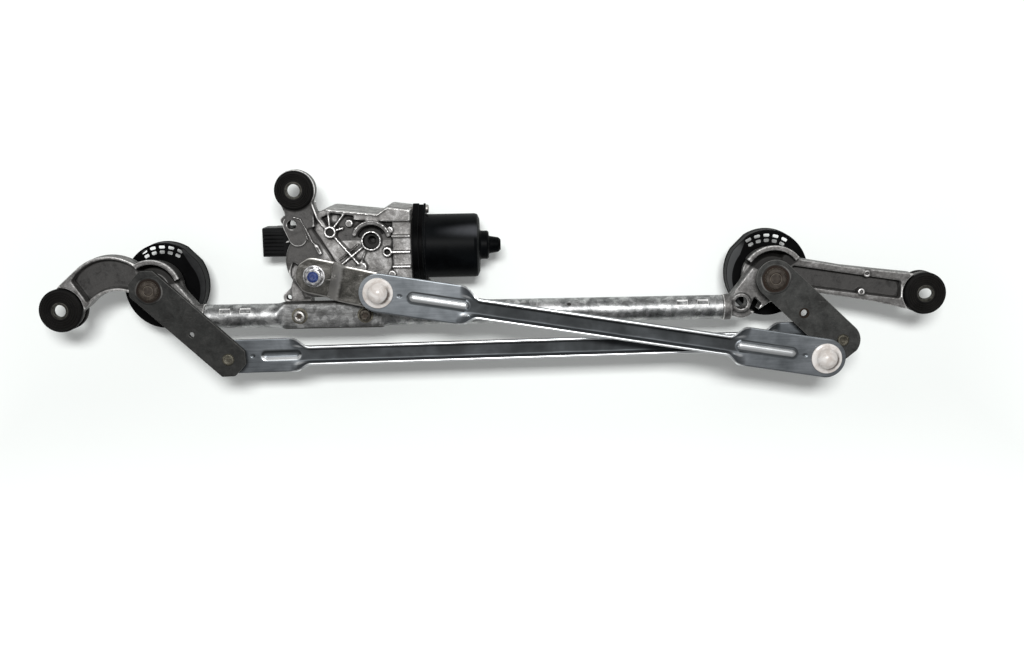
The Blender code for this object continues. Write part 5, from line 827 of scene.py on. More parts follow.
def buildGearHousing():
    # Case with sunk top face, raised deck and arm, rims, bosses and ribs. Places count from the output axis.
    gear = {"low": 8.4, "floor": 64.0, "deck": 70.0, "rim": 72.5, "rib": 73.0, "boss": 77.6, "ribWidth": 2.3,
            "right": 88.4, "draft": 0.02, "wheel": (2.0, 12.0), "worm": (51.7, 30.2), "screw": (14.6, 38.7),
            "feet": (-15.6, 44.6)}
    right, floor, ribTop, worm, screw = gear["right"], gear["floor"], gear["rib"], gear["worm"], gear["screw"]
    casting = Casting((-42, -42), (right + 3, 100), 0.74, spread((6, 80), 0.68, 2.4, 52))

    def block(points, low, high, radius=3.0, fillet=1.5, soft=0.9):
        casting.addBlock(rounded(points, radius, 5), low, high, soft, gear["draft"], fillet)

    def boss(x, y, radius, high, hole=0.0, depth=4.0, fillet=1.6):
        casting.addDisc(x, y, radius, 50, high, 0.6, 0.03, fillet)
        holes.append((x, y, hole, high - depth))

    def rib(points, high=ribTop, width=gear["ribWidth"]):
        casting.add(casting.raised(casting.stroke(points, width), 58, high, 0.8, 0.04), 1.6)

    holes = []
    plan = [(-15.0, -23.2), (right, -23.2), (right, 58.5), (67, 61.5), (58, 55.5), (12, 60.8), (2, 56.5)]
    case = np.vstack([rounded(plan, 4.0, 5)[3:], bow(31.2, 128.0, 234.0, 24, gear["wheel"])])
    casting.addBlock(case, gear["low"], floor, 0.9, gear["draft"])
    deck = np.vstack([[(12, -19), (20, 6), (4, 33), (-6, 48)], bow(29.7, 132.0, 230.0, 24, gear["wheel"])])
    casting.addBlock(deck, 50, gear["deck"], 2.0, gear["draft"])
    tx, ty = eyes["top"] - outputAxis
    block([(tx - 15, ty - 8), (-20, 36), (1, 44), (tx + 16, ty - 6), (tx, ty)], 56, gear["rim"], 0.5, 2.5,
          1.2)
    block([(2, 55.8), (12, 60.0), (58, 54.8), (67, 60.6), (right - 0.4, 57.8), (right - 0.4, 47.0), (66, 47),
           (36, 49.0), (36, 53.0), (16, 55.6), (6, 51)], 50, gear["rim"], 1.2, 1.5, 0.8)
    rib([(12, 58.6), (58, 53.4), (67, 59.0)], gear["rim"] + 1.2, 1.4)
    block([(70.5, -18), (right - 0.4, -18), (right - 0.4, 50), (70.5, 50)], 50, gear["deck"] - 1, 1.5, 1.5,
          0.8)
    boss(0, 0, 14.0, gear["boss"], 8.4, 40.0, 2.0)
    boss(*screw, 6.0, ribTop + 1, 3.6)
    boss(*worm, 9.6, ribTop + 1, 7.6, 9.0)
    boss(65.9, 19.7, 5.0, ribTop, 2.6, 9.0)
    for x, y, radius in ((32.1, 46.4, 4.0), (68.8, 39.6, 3.6), (41.8, 5.8, 5.4), (69.8, -0.8, 4.0)):
        boss(x, y, radius, ribTop - 1)
    # ribs out of the screw boss
    for x, y in ((5.0, 53.0), (13.5, 56.0), (27.0, 54.0), (39.5, 9.0), (26.0, 42.0)):
        rib([screw, (x, y)], ribTop, 2.6)
    rib([(24.0, 9.0), (47.0, 27.0)], ribTop, 2.4)
    rib([(22.0, 13.0), (39.5, 26.5)], ribTop - 1.5, 1.4)
    rib([(46.0, 20.0), (41.0, 9.0)], ribTop - 1.0, 1.6)
    for y in (33.8, 19.4, 6.0):
        rib([(71.0, y), (right - 2, y)], ribTop, 3.0)
    # The broad bow with its double edge, and the arm's rims that run on into the screw boss.
    rib(bow(16.4, 18.0, 158.0, 24, worm), ribTop, 4.6)
    rib(bow(17.6, 25.0, 150.0, 24, worm), ribTop + 1.2, 1.4)
    rib([(tx + 14.5, ty - 12.0), (3.5, 52.0), (8.0, 45.0), (12.0, 41.0)], gear["rim"] + 1.2, 2.6)
    rib([(-18.0, 53.0), (-12.0, 51.5), (-8.0, 44.0), (-2.0, 30.5), (2.5, 25.5)], gear["rim"] + 1.6, 2.0)
    rib([(-15.2, 50.0), (-10.8, 46.5), (-5.0, 31.0)], gear["rim"] + 0.8, 1.3)
    rib([(2.0, 26.0), (5.0, 20.0)], gear["rim"] + 1.5, 4.4)
    rib([(-26.0, 30.0), (-17.0, 32.5), (-7.0, 36.5)], gear["deck"] + 1.0, 1.8)
    # pierced ears
    for x, y, radius, hole, rise in ((-27.1, -21.7, 5.5, 2.3, -2.2), (-19.8, 46.0, 8.4, 4.2, 8.6)):
        casting.addBlock(belt([(x, y, radius), (x * 0.75, y * 0.75, radius)]), 54, floor + rise)
        holes.append((x, y, hole, 40.0))
    casting.addBlock(belt([(-27.5, 50.5, 3.2), (-20.0, 46.0, 6.0)]), 56, floor + 6.0)
    for x in gear["feet"]:
        casting.addBlock(belt([(x, tubeLine - outputAxis[1], 9.0), (x, -12.0, 9.0)]), 40, 62.6, 0.6,
                         fillet=2.0)
    housingEye(casting, tx, ty, 17.8, 0.0)
    for x, y, radius, low in holes:
        if radius:
            casting.cutDisc(x, y, radius, low, 95, 0.2)
    casting.cutDisc(*worm, 3.6, 52, 80, 0.2)
    under = rounded([*bow(13.6, 28.0, 168.0, 14, worm), *bow(10.4, 168.0, 28.0, 12, worm)], 0.8, 2)
    casting.cutBlock(under, floor - 7.0, 95, 0.6, 0.6)
    pocket = rounded([*bow(17.0, 150.0, 212.0, 8), *bow(23.5, 212.0, 150.0, 8)], 1.5, 3)
    casting.cutBlock(pocket, gear["deck"] - 4, 95, 1.0, 1.0)
    skin = casting.skin()
    x, y, z = skin.points.T
    # Darker over the high faces on the arm's side of the output axis, and on the sunk top face at the rear.
    armDarkening = 0.52 * ease(z, 65.0, 68.0) * (1 - ease(x, 2.0, 16.0))
    floorDarkening = 0.5 * ((np.abs(z - floor) < 0.8) & (y > 30) & (x > 20))
    skin.marks["dirt"] = np.maximum(np.maximum(skin.marks["dirt"], armDarkening), floorDarkening)
    for left, front, radius, low in holes:  # the holes get painted shade inside
        deep = (np.hypot(x - left, y - front) < radius + 0.2) & (z > low - 2.0) & (z < 71.5)
        skin.marks["dirt"][deep], skin.marks["edge"][deep] = 1.0, 0.0
    makePiece("gearHousing", skin.moved(*outputAxis), gearCast, "frame", ["gear_housing"], 44.0, False)


def buildGearCover():
    # Flat lid under the gear case and, on its tongue, the plug socket: a rectangle with a closed profile
    # of inset and length carried round it, laid along X.
    lid = {"high": 8.0, "plug": (-53.6, 13.9, 27.0), "length": 26.2, "low": 12.0, "top": 40.0, "wall": 2.0,
           "depth": 17.0, "wheel": (2.0, 12.0), "ridges": 7, "ridgePitch": 3.5, "ridgeWide": 1.3}
    plan = [(-15.0, -22.6), (87.8, -22.6), (87.8, 57.9), (67.2, 60.8), (58, 54.9), (12, 60.2), (2.2, 55.9)]
    outline = np.vstack([rounded(plan, 4.0, 5)[3:], bow(30.6, 128.0, 234.0, 24, lid["wheel"])])
    skin = plate(outline, [], 0.0, lid["high"], 0.8)
    x, y, wide = lid["plug"]
    wall, length, depth = lid["wall"], lid["length"], lid["depth"]
    skin = skin + plate(rectangle(x + 8.0, y + 0.5, x + 40.0, y + wide - 0.5), [], 2.6, 7.4, 0.5)
    foot = rectangle(x + 8.0, y + 0.6, x + length, y + wide - 0.6)
    skin = skin + plate(foot, [], 3.0, lid["low"] + 1.0, 0.5)
    mouth = rounded(rectangle(-lid["top"], y, -lid["low"], y + wide), 1.6, 5)
    tube = carried(mouth, [(0.5, 0.0), (0.0, 0.5), (0.0, length - 0.6), (0.6, length), (wall + 3.0, length),
                           (wall + 3.0, depth + 1.0), (wall + 0.3, depth), (wall, depth - 0.5), (wall, 0.5),
                           (wall - 0.5, 0.0)], 0.9)
    back = plate(offsetRing(mouth, -wall - 1.0), [], depth, length - 0.2, 0.3)
    skin = skin + (tube + back).turned(90.0, "y").moved(x)
    for number in range(lid["ridges"]):  # grip ridges on the upper wall, the rearmost one worn
        low = y + 2.2 + number * lid["ridgePitch"]
        bar = plate(rectangle(x + 1.4, low, x + 20.0, low + lid["ridgeWide"]), [], lid["top"] - 0.4,
                    lid["top"] + 0.9, 0.35)
        bar.marks["dirt"][:] = 0.35 if number == lid["ridges"] - 1 else 0.08
        skin = skin + bar
    makePiece("gearCover", skin.moved(*outputAxis), plugPlastic, "frame", ["gear_cover"])


def buildTube():
    # Superellipse section carried along X; height and width ease from round to flat, small pits press it in.
    tube = {"radius": 11.0, "wall": 1.5, "flatHeight": 7.0, "flatWidth": 12.5, "square": 0.58, "ramp": 9.0,
            "crimpLength": 9.6, "crimpWidth": 4.6, "crimpDepth": 0.75, "crimpSwell": 0.18, "crimpTurn": 33.0,
            "holeX": 96.6, "holeTurn": 37.0, "holeRadius": 1.9, "holeDepth": 1.45, "inboard": 28.1,
            "outboard": 57.9, "crimps": (18.5, 37.3)}
    low, high = boxOf("frame_tube")
    axisY, axisZ = (low[1] + high[1]) / 2, (low[2] + high[2]) / 2
    flatLow, flatHigh = outputAxis[0] - tube["inboard"], outputAxis[0] + tube["outboard"]
    crimps = [low[0] + inset for inset in tube["crimps"]] + [high[0] - inset for inset in tube["crimps"]]
    xs = np.unique(np.concatenate([np.linspace(low[0], high[0], 260)]
                                  + [np.linspace(c - 7.0, c + 7.0, 40) for c in crimps]
                                  + [np.linspace(tube["holeX"] - 3.5, tube["holeX"] + 3.5, 28)]
                                  + [np.linspace(flatLow - 11, flatLow + 3, 22),
                                     np.linspace(flatHigh - 3, flatHigh + 11, 22)]))
    angles = np.concatenate([np.linspace(20.0, 52.0, 44, endpoint=False),
                             np.linspace(52.0, 380.0, 92, endpoint=False)])
    x, turn = xs[:, None], np.radians(angles)[None, :]  # turn counts from +Z towards +Y
    flat = ease(x, flatLow - tube["ramp"], flatLow) * (1 - ease(x, flatHigh, flatHigh + tube["ramp"]))
    width = tube["radius"] + (tube["flatWidth"] - tube["radius"]) * flat
    height = tube["radius"] + (tube["flatHeight"] - tube["radius"]) * flat
    power = 1.0 - tube["square"] * flat
    side, up = np.sin(turn), np.cos(turn)
    y = width * np.sign(side) * np.abs(side) ** power
    z = height * np.sign(up) * np.abs(up) ** power
    dent = np.zeros(y.shape)
    rim = np.zeros(y.shape)
    for c in crimps:
        across = (turn - math.radians(tube["crimpTurn"])) * tube["radius"]
        gap = np.maximum(np.abs(x - c) - tube["crimpLength"] / 2, np.abs(across) - tube["crimpWidth"] / 2)
        swell = tube["crimpSwell"] * (1 - ease(np.abs(gap - 0.35), 0.1, 0.7))
        dent = dent + tube["crimpDepth"] * (1 - ease(gap, -0.9, 0.1)) - swell
        rim = rim + (1 - ease(np.abs(gap + 0.1), 0.2, 0.7))
    across = (turn - math.radians(tube["holeTurn"])) * tube["radius"]
    gap = np.hypot(x - tube["holeX"], across) - tube["holeRadius"]
    hole = 1 - ease(gap, -0.5, 0.1)
    dent = dent + tube["holeDepth"] * hole
    shrink = 1.0 - dent / np.hypot(y, z)
    outer = np.stack(np.broadcast_arrays(x, axisY + y * shrink, axisZ + z * shrink), -1)
    wall = 1.0 - tube["wall"] / np.hypot(y, z)
    inner = np.stack(np.broadcast_arrays(x, axisY + y * wall, axisZ + z * wall), -1)
    inner = inner[np.unique(np.concatenate([np.arange(0, len(xs), 12), [len(xs) - 1]]))]
    ends = np.clip(1 - (x - low[0]) / 25.0, 0, 1) + np.clip(1 - (high[0] - x) / 25.0, 0, 1)
    dirt = 0.30 * ends + 0.9 * hole + 0.62 * flat + 0.2 * flat * (np.abs(side) > 0.75)
    count = len(angles)
    shine = 0.75 * rim * (np.abs(x - (low[0] + high[0]) / 2) > 100)
    skin = Skin(outer, netFaces(len(xs), count, False, True), shine, np.broadcast_to(dirt, y.shape))
    lining = np.concatenate([outer[:1], inner, outer[-1:]])[::-1]
    skin = skin + Skin(lining, netFaces(len(lining), count, False, True), 0.3, 0.5)
    makePiece("frameTube", skin, tubeZinc, "frame", ["frame_tube"])


def buildLink(name, body, start, end, half, floorHalf, plateLength, bead, plane):
    # Flat plate with round ends whose sides fold up through two necks into a channel:
    # across the sheet the direction turns by the fold angle over a short bend, and is summed up into y and z.
    link = {"sheet": 2.2, "bend": 3.0, "neck": 17.0, "fold": 88.0, "beadStart": 26.0, "beadPast": 9.0,
            "beadHalf": 5.6, "beadEdge": 5.0, "dimple": 19.4, "dimpleRadius": 1.9, "dimpleDeep": 0.9}
    bend, neck = link["bend"], link["neck"]
    start, end = np.array(start), np.array(end)
    length = float(np.hypot(*(end - start)))
    cap = half * np.sin(np.radians(np.linspace(0.0, 90.0, 18)))
    reach = np.concatenate([-cap[::-1], np.linspace(1.0, plateLength, 72),
                            np.linspace(plateLength + 1.0, plateLength + neck + 3, 40)])
    channel = plateLength + neck + 8
    xs = np.concatenate([reach, np.linspace(channel, length - channel, 24), length - reach[::-1]])
    near = np.minimum(xs, length - xs)[:, None]
    fold = math.radians(link["fold"]) * ease(near, plateLength - 3.0, plateLength + neck)
    s = np.concatenate([np.linspace(0, floorHalf - bend, 14),
                        np.linspace(floorHalf - bend, floorHalf + bend, 12)[1:],
                        np.linspace(floorHalf + bend, half, 9)[1:]])
    part = ease(s[None, :], floorHalf - bend, floorHalf + bend)
    heading = fold * part
    ds = np.diff(s)[None, :]
    mid = (heading[:, 1:] + heading[:, :-1]) / 2
    y = np.concatenate([np.zeros((len(xs), 1)), np.cumsum(np.cos(mid) * ds, 1)], 1)
    z = np.concatenate([np.zeros((len(xs), 1)), np.cumsum(np.sin(mid) * ds, 1)], 1)
    beyond = np.maximum(-near, 0.0)
    squeeze = np.sqrt(np.maximum(1.0 - (beyond / half) ** 2, 0.0))
    y = y * squeeze
    beadEnd = plateLength + link["beadPast"]
    along = np.clip(near, link["beadStart"] + link["beadHalf"], beadEnd - link["beadHalf"])
    gap = np.hypot(near - along, y) - link["beadHalf"]
    lift = bead * (1 - ease(gap, -link["beadEdge"], 0.0))
    pit = link["dimpleDeep"] * (1 - ease(np.hypot(near - link["dimple"], y), 0.4, link["dimpleRadius"]))
    z = z + lift - pit
    nx, ny = -np.sin(heading), np.cos(heading)
    t = link["sheet"] / 2
    top = np.stack([y + nx * t, z + ny * t], -1)
    low = np.stack([y - nx * t, z - ny * t], -1)
    # The rim of the sheet is rounded by pulling its last points in.
    rimTop = top[:, -1:] * 0.5 + low[:, -1:] * 0.5 + (top[:, -1:] - low[:, -1:]) * 0.3
    rimLow = top[:, -1:] * 0.5 + low[:, -1:] * 0.5 - (top[:, -1:] - low[:, -1:]) * 0.3
    out = np.stack([np.cos(heading[:, -1:]), np.sin(heading[:, -1:])], -1) * 0.45 * squeeze[..., None]
    right = np.concatenate([top, rimTop + out, rimLow + out, low[:, ::-1]], 1)
    left = right[:, ::-1][:, 1:-1] * np.array([-1.0, 1.0])
    loop = np.concatenate([right, left], 1)
    points = np.concatenate([np.broadcast_to(xs[:, None, None], (*loop.shape[:2], 1)), loop], -1)
    rows = len(s)
    folded = ease(near, plateLength - 6, plateLength + 8)
    edgeHalf = np.zeros((len(xs), right.shape[1]))
    edgeHalf[:, rows - 1:rows + 3] = 0.30 + 0.70 * folded
    edgeHalf[:, :rows] += 0.75 * (1 - ease(np.abs(s[None, :] - half), 0.3, 1.8)) * folded
    # A painted highlight runs along the crease at each neck.
    crease = folded * (1 - ease(near, plateLength + 6, plateLength + neck + 4))
    edgeHalf[:, :rows] += 0.8 * crease * (1 - ease(np.abs(s[None, :] - floorHalf - 2.0), 0.6, 2.4))
    if bead > 0:  # the crown of a raised bead gets a painted highlight
        edgeHalf[:, :rows] += 0.9 * (1 - ease(gap, -4.0, -0.9))
    # Painted shade on the channel's floor and in the dimple.
    shadeHalf = np.zeros((len(xs), right.shape[1]))
    shadeHalf[:, :rows] = 0.75 * folded * (1 - part) * ease(gap, -2.0, 0.5) + 0.45 * pit / link["dimpleDeep"]
    marks = [np.concatenate([m, m[:, ::-1][:, 1:-1]], 1) for m in (edgeHalf, shadeHalf)]
    flank = 1 - ease(np.abs(gap + 2.2), 0.6, 2.0)
    # A raised bead gets a painted shade line round its foot, stronger on one half of the sheet than the
    # other.
    if bead > 0:
        marks[1][:, :rows] += 0.9 * (1 - ease(np.abs(gap + 0.4), 0.3, 1.5)) * (plateLength + 4 > near)
        marks[1][:, -rows + 1:] += (0.6 * (1 - ease(np.abs(gap + 0.4), 0.3, 1.3))
                                    * (plateLength + 4 > near))[:, :0:-1]
    else:  # a sunk bead shines on the flank that faces the light and is dark on the other
        marks[1][:, :rows] += 0.9 * flank
        marks[0][:, -rows + 1:] += flank[:, :0:-1]
    skin = Skin(points, netFaces(len(xs), loop.shape[1], False, True), marks[0], marks[1])
    turn = math.degrees(math.atan2(end[1] - start[1], end[0] - start[0]))
    skin = skin.turned(turn).moved(start[0], start[1], plane)
    makePiece(name, skin, linkZinc, body, [body], 50.0)


def buildSocket(node, finish, down):
    # Turned cap: ball dome, flaring flange on the plate, skirt through the plate.
    cap = {"dome": 10.1, "flange": 13.6, "flangeHigh": 2.3, "gap": 0.3, "body": 10.2, "skirt": 5.2,
           "mouth": 7.8, "mouthDeep": 3.0}
    angles = np.radians(np.linspace(90.0, 19.0, 16))
    dome = [(cap["dome"] * math.cos(a), cap["dome"] * math.sin(a)) for a in angles]
    dome[0] = (0.0, cap["dome"])
    line = dome + [(cap["flange"] - 1.6, cap["flangeHigh"]), (cap["flange"], cap["flangeHigh"] - 0.5),
                   (cap["flange"], cap["gap"]), (cap["body"], cap["gap"]), (cap["body"], -cap["skirt"]),
                   (cap["mouth"], -cap["skirt"]), (cap["mouth"], -cap["mouthDeep"]), (0.0, -cap["mouthDeep"])]
    skin = lathe(line, 80, [0.0] * 16 + [0.7, 0.5, 0.3, 0.2, 0.4, 0.3, 0.2, 0.0])
    radius = np.hypot(skin.points[:, 0], skin.points[:, 1])
    skin.marks["edge"][:] = 0.0
    # Painted shade lies round the foot of the dome and, as a crescent, on its lower right side; on the black
    # caps the same mark comes out lighter.
    turn = np.arctan2(skin.points[:, 1], skin.points[:, 0])
    crescent = np.clip(np.cos(turn + math.radians(30.0)), 0.0, 1.0) * ease(radius, 7.0, 9.8) * (radius < 11.4)
    skin.marks["dirt"][:] = 0.18 * ease(radius, 6.5, 10.0) + 0.12 * (radius > 11.5) + 0.8 * crescent
    if down:
        skin = skin.turned(180.0, "x")
    x, y = centreOf(node)[:2]
    body = "tie_link" if down else "drive_link"
    skin = skin.moved(x, y, (rearBall if down else frontBall)[2])
    makePiece(node.replace("_", ""), skin, finish, body, [node], 60.0)


def studSkin(rise, shank, headed=True):
    # Ball, neck and collar over a plate face at height 0, and the rivet under it.
    ball = {"radius": 7.5, "neck": 4.5, "collar": 8.0, "collarHigh": 1.3, "gap": 0.3, "shank": 4.0,
            "head": 5.7}
    angles = np.radians(np.linspace(90.0, -53.0, 16))
    line = [(ball["radius"] * math.cos(a), rise + ball["radius"] * math.sin(a)) for a in angles]
    line[0] = (0.0, rise + ball["radius"])
    top, gap, under = ball["gap"] + ball["collarHigh"], ball["gap"], -shank
    line += [(ball["neck"], top), (ball["collar"], top), (ball["collar"], gap)]
    if headed:
        line += [(ball["shank"], gap), (ball["shank"], under - gap), (ball["head"], under - gap),
                 (ball["head"] - 0.5, under - 1.0), (ball["head"] - 1.2, under - 1.8), (3.4, under - 1.8),
                 (2.9, under - 1.1), (0.0, under - 1.1)]
    else:
        line += [(0.0, gap)]
    return lathe(line, 48, 0.25)


def rivetSkin(thickness):  # riveted end over a plate, its face dished
    line = [(0.0, 1.1), (2.9, 1.1), (3.4, 1.8), (4.6, 1.8), (5.3, 1.0), (5.7, 0.3), (4.0, 0.3),
            (4.0, -thickness), (0.0, -thickness)]
    return lathe(line, 48, 0.25)


def leverPad(radius):  # low pad round a spindle head: rusty inside, its outer ring worn bright in places
    high = leverHigh
    angles = np.arange(96) * 2.0 * math.pi / 96
    radii = np.array([6.4, 6.4, 9.5, radius - 1.6, radius - 0.9, radius, radius + 0.5])
    heights = np.array([high - 1.0, high + 0.30, high + 0.30, high + 0.30, high + 0.40, high + 0.18,
                        high - 0.3])
    wobble = 1 + 0.012 * np.sin(3 * angles + 1.0) + 0.010 * np.sin(5 * angles)
    around = radii[:, None] * wobble
    points = np.stack(np.broadcast_arrays(around * np.cos(angles), around * np.sin(angles),
                                          heights[:, None]), -1)
    patch = 0.5 + 0.5 * np.sin(2 * angles + 0.6)
    shine = np.array([0.0, 0.0, 0.0, 0.2, 1.0, 0.8, 0.2])[:, None] * patch
    grime = np.array([1.0, 1.0, 1.0, 0.7, 0.2, 0.1, 0.1])[:, None] * np.ones((1, 96))
    return Skin(points, netFaces(7, 96, False, True), shine, grime)


def buildLevers():
    lever = {"leftReach": 93.5, "leftTurn": -43.3, "leftHalf": 16.0, "margin": 14.6, "nose": 17.8,
             "crop": 8.4, "leftHole": (54.2, -5.0), "leftHoleRadius": 2.5, "bore": 6.3, "rightHalf": 17.2,
             "waist": (33.1, -55.3), "bevel": 0.55, "eyelet": 3.1, "eyeletReach": 41.1, "eyeletTurn": -7.5,
             "sheet": 5.0, "frontEnd": 15.0, "rearEnd": 16.0, "frontRise": 9.0, "rearRise": 11.5,
             "leftPad": 12.6, "rightPad": 13.8, "leftHead": 8.9, "rightHead": 9.9}
    high = leverHigh
    tail, nose = lever["leftReach"] + lever["margin"], -lever["nose"]
    half, crop = lever["leftHalf"], lever["crop"]
    outline = rounded([(nose, half - crop), (nose, crop - half), (nose + crop, -half), (tail - crop, -half),
                       (tail, crop - half), (tail, half - crop), (tail - crop, half), (nose + crop, half)],
                      2.5, 6)
    hole = rounded(bow(lever["leftHoleRadius"], -50.0, 230.0, 14, lever["leftHole"]), 0.2, 2)
    skin = plate(outline, [ring(lever["bore"], 40), hole], leverLow, high, lever["bevel"])
    skin = (skin + leverPad(lever["leftPad"])).turned(lever["leftTurn"]).moved(*leftPivot)
    makePiece("leftLever", skin, leverDark, "left_crank", ["left_lever"])
    rear, front = rearBall[:2] - rightPivot, frontBall[:2] - rightPivot
    outline = np.vstack([bow(lever["rightHalf"], 46.8, 226.8, 30), [lever["waist"]],
                         bow(lever["frontEnd"], 180.0, 322.4, 24, front),
                         bow(lever["rearEnd"], -37.6, 46.8, 14, rear)])
    x, y = rear / np.hypot(*rear) * lever["eyeletReach"]
    c, s = math.cos(math.radians(lever["eyeletTurn"])), math.sin(math.radians(lever["eyeletTurn"]))
    eyelet = (x * c - y * s, x * s + y * c)
    hole = lever["eyelet"]
    skin = plate(outline, [ring(lever["bore"], 40), ring(hole, 32, eyelet)], leverLow, high, lever["bevel"])
    rim = lathe([(hole + 1.6, high + 0.05), (hole + 1.0, high + 0.35), (hole, high + 0.2), (hole, high - 1.5),
                 (hole + 1.6, high - 1.5)], 40, 0.2, True, edge=0.0)
    rim.marks["dirt"][:] = 1.0
    skin = skin + leverPad(lever["rightPad"]) + rim.moved(*eyelet)
    makePiece("rightLever", skin.moved(*rightPivot), leverSteel, "right_crank", ["right_lever"])
    buildSpindle("left", "left_crank", leftPivot, lever["leftHead"])
    buildSpindle("right", "right_crank", rightPivot, lever["rightHead"])
    rivet = rivetSkin(lever["sheet"]).moved(*centreOf("left_stud_rivet")[:2], high)
    front = studSkin(lever["frontRise"], lever["sheet"]).moved(*frontBall[:2], high)
    rear = studSkin(lever["rearRise"], lever["sheet"]).turned(180.0, "x").moved(*rearBall[:2], leverLow)
    for name, skin, body, node in (("leftStudRivet", rivet, "left_crank", "left_stud_rivet"),
                                   ("frontBallStud", front, "right_crank", "right_front_ball_stud"),
                                   ("rearBallStud", rear, "right_crank", "right_rear_ball_stud")):
        makePiece(name, skin, rivetSteel, body, [node])


def buildSpindle(side, body, pivot, head):
    # Turned shaft: peened head over the lever, collar, bearing length with groove, cone and threaded end.
    turned = {"shaft": 6.0, "collar": 9.0, "collarHigh": 3.0, "groove": 5.2, "thread": 4.0, "threadEnd": 11.0,
              "cone": 21.0, "ridges": 22, "knurls": 36, "gap": 0.3, "pitch": 1.25}
    gap, shaft, thread = turned["gap"], turned["shaft"], turned["thread"]
    top, low = leverHigh + gap, leverLow - gap
    grooveLow, grooveHigh = boxOf(side + "_circlip")[0][2] - gap, boxOf(side + "_circlip")[1][2] + gap
    line = [(0.0, top + 1.7), (head * 0.40, top + 1.9), (head * 0.50, top + 1.3), (head * 0.62, top + 2.0),
            (head * 0.86, top + 1.8), (head, top + 0.6), (head, top), (shaft, top), (shaft, low),
            (turned["collar"], low), (turned["collar"], low - turned["collarHigh"]),
            (shaft, low - turned["collarHigh"]), (shaft, grooveHigh), (turned["groove"], grooveHigh),
            (turned["groove"], grooveLow), (shaft, grooveLow), (shaft, turned["cone"]),
            (shaft - 1.0, turned["threadEnd"]), (thread, turned["threadEnd"]), (thread, 0.8),
            (thread - 0.8, 0.0), (0.0, 0.0)]

    def ridged(radius, height, angle):
        rim = ease(radius, head * 0.55, head * 0.9) * (height > top + 0.2)
        swell = 1.0 + 0.035 * np.cos(turned["ridges"] * angle) * rim
        cone = (height < turned["cone"] + 0.1) * (height > turned["threadEnd"] + 0.1)
        knurl = 0.12 * np.cos(turned["knurls"] * angle) * cone
        wave = 0.25 * np.cos(5 * angle + 1.0) * (height > top + 1.0)
        return radius * swell - knurl, height + wave * ease(radius, 1.0, head)

    skin = lathe(line, 108, 0.35, False, ridged)
    skin = skin + threadSkin(thread + 0.02, 1.0, turned["threadEnd"] - 0.6, turned["pitch"])
    skin.marks["dirt"] = np.where(skin.points[:, 2] > low, 0.5, 0.15)
    makePiece(side + "Spindle", skin.moved(*pivot), brownSteel, body, [side + "_spindle"], 30.0)


def threadSkin(radius, low, high, pitch):
    # Triangular ridge carried along a helix, sunk into its shaft.
    turns = (high - low) / pitch
    t = np.linspace(0.0, turns, int(turns * 28))[:, None]
    section = np.array([(-0.5, -0.42), (0.06, -0.06), (0.06, 0.06), (-0.5, 0.42)])
    fade = np.minimum(1.0, np.minimum(t, turns - t) * 4.0)
    r = radius + section[None, :, 0] * fade - 0.5 * (1 - fade)
    z = low + t * pitch + section[None, :, 1] * pitch * 0.9
    points = np.stack([r * np.cos(2 * math.pi * t), r * np.sin(2 * math.pi * t), z], -1)
    ends = [np.array([[0, 1, 2, 3]]), np.array([[3, 2, 1, 0]]) + (len(t) - 1) * 4]
    return Skin(points, np.vstack([netFaces(len(t), 4, False, True)] + ends), 0.4)


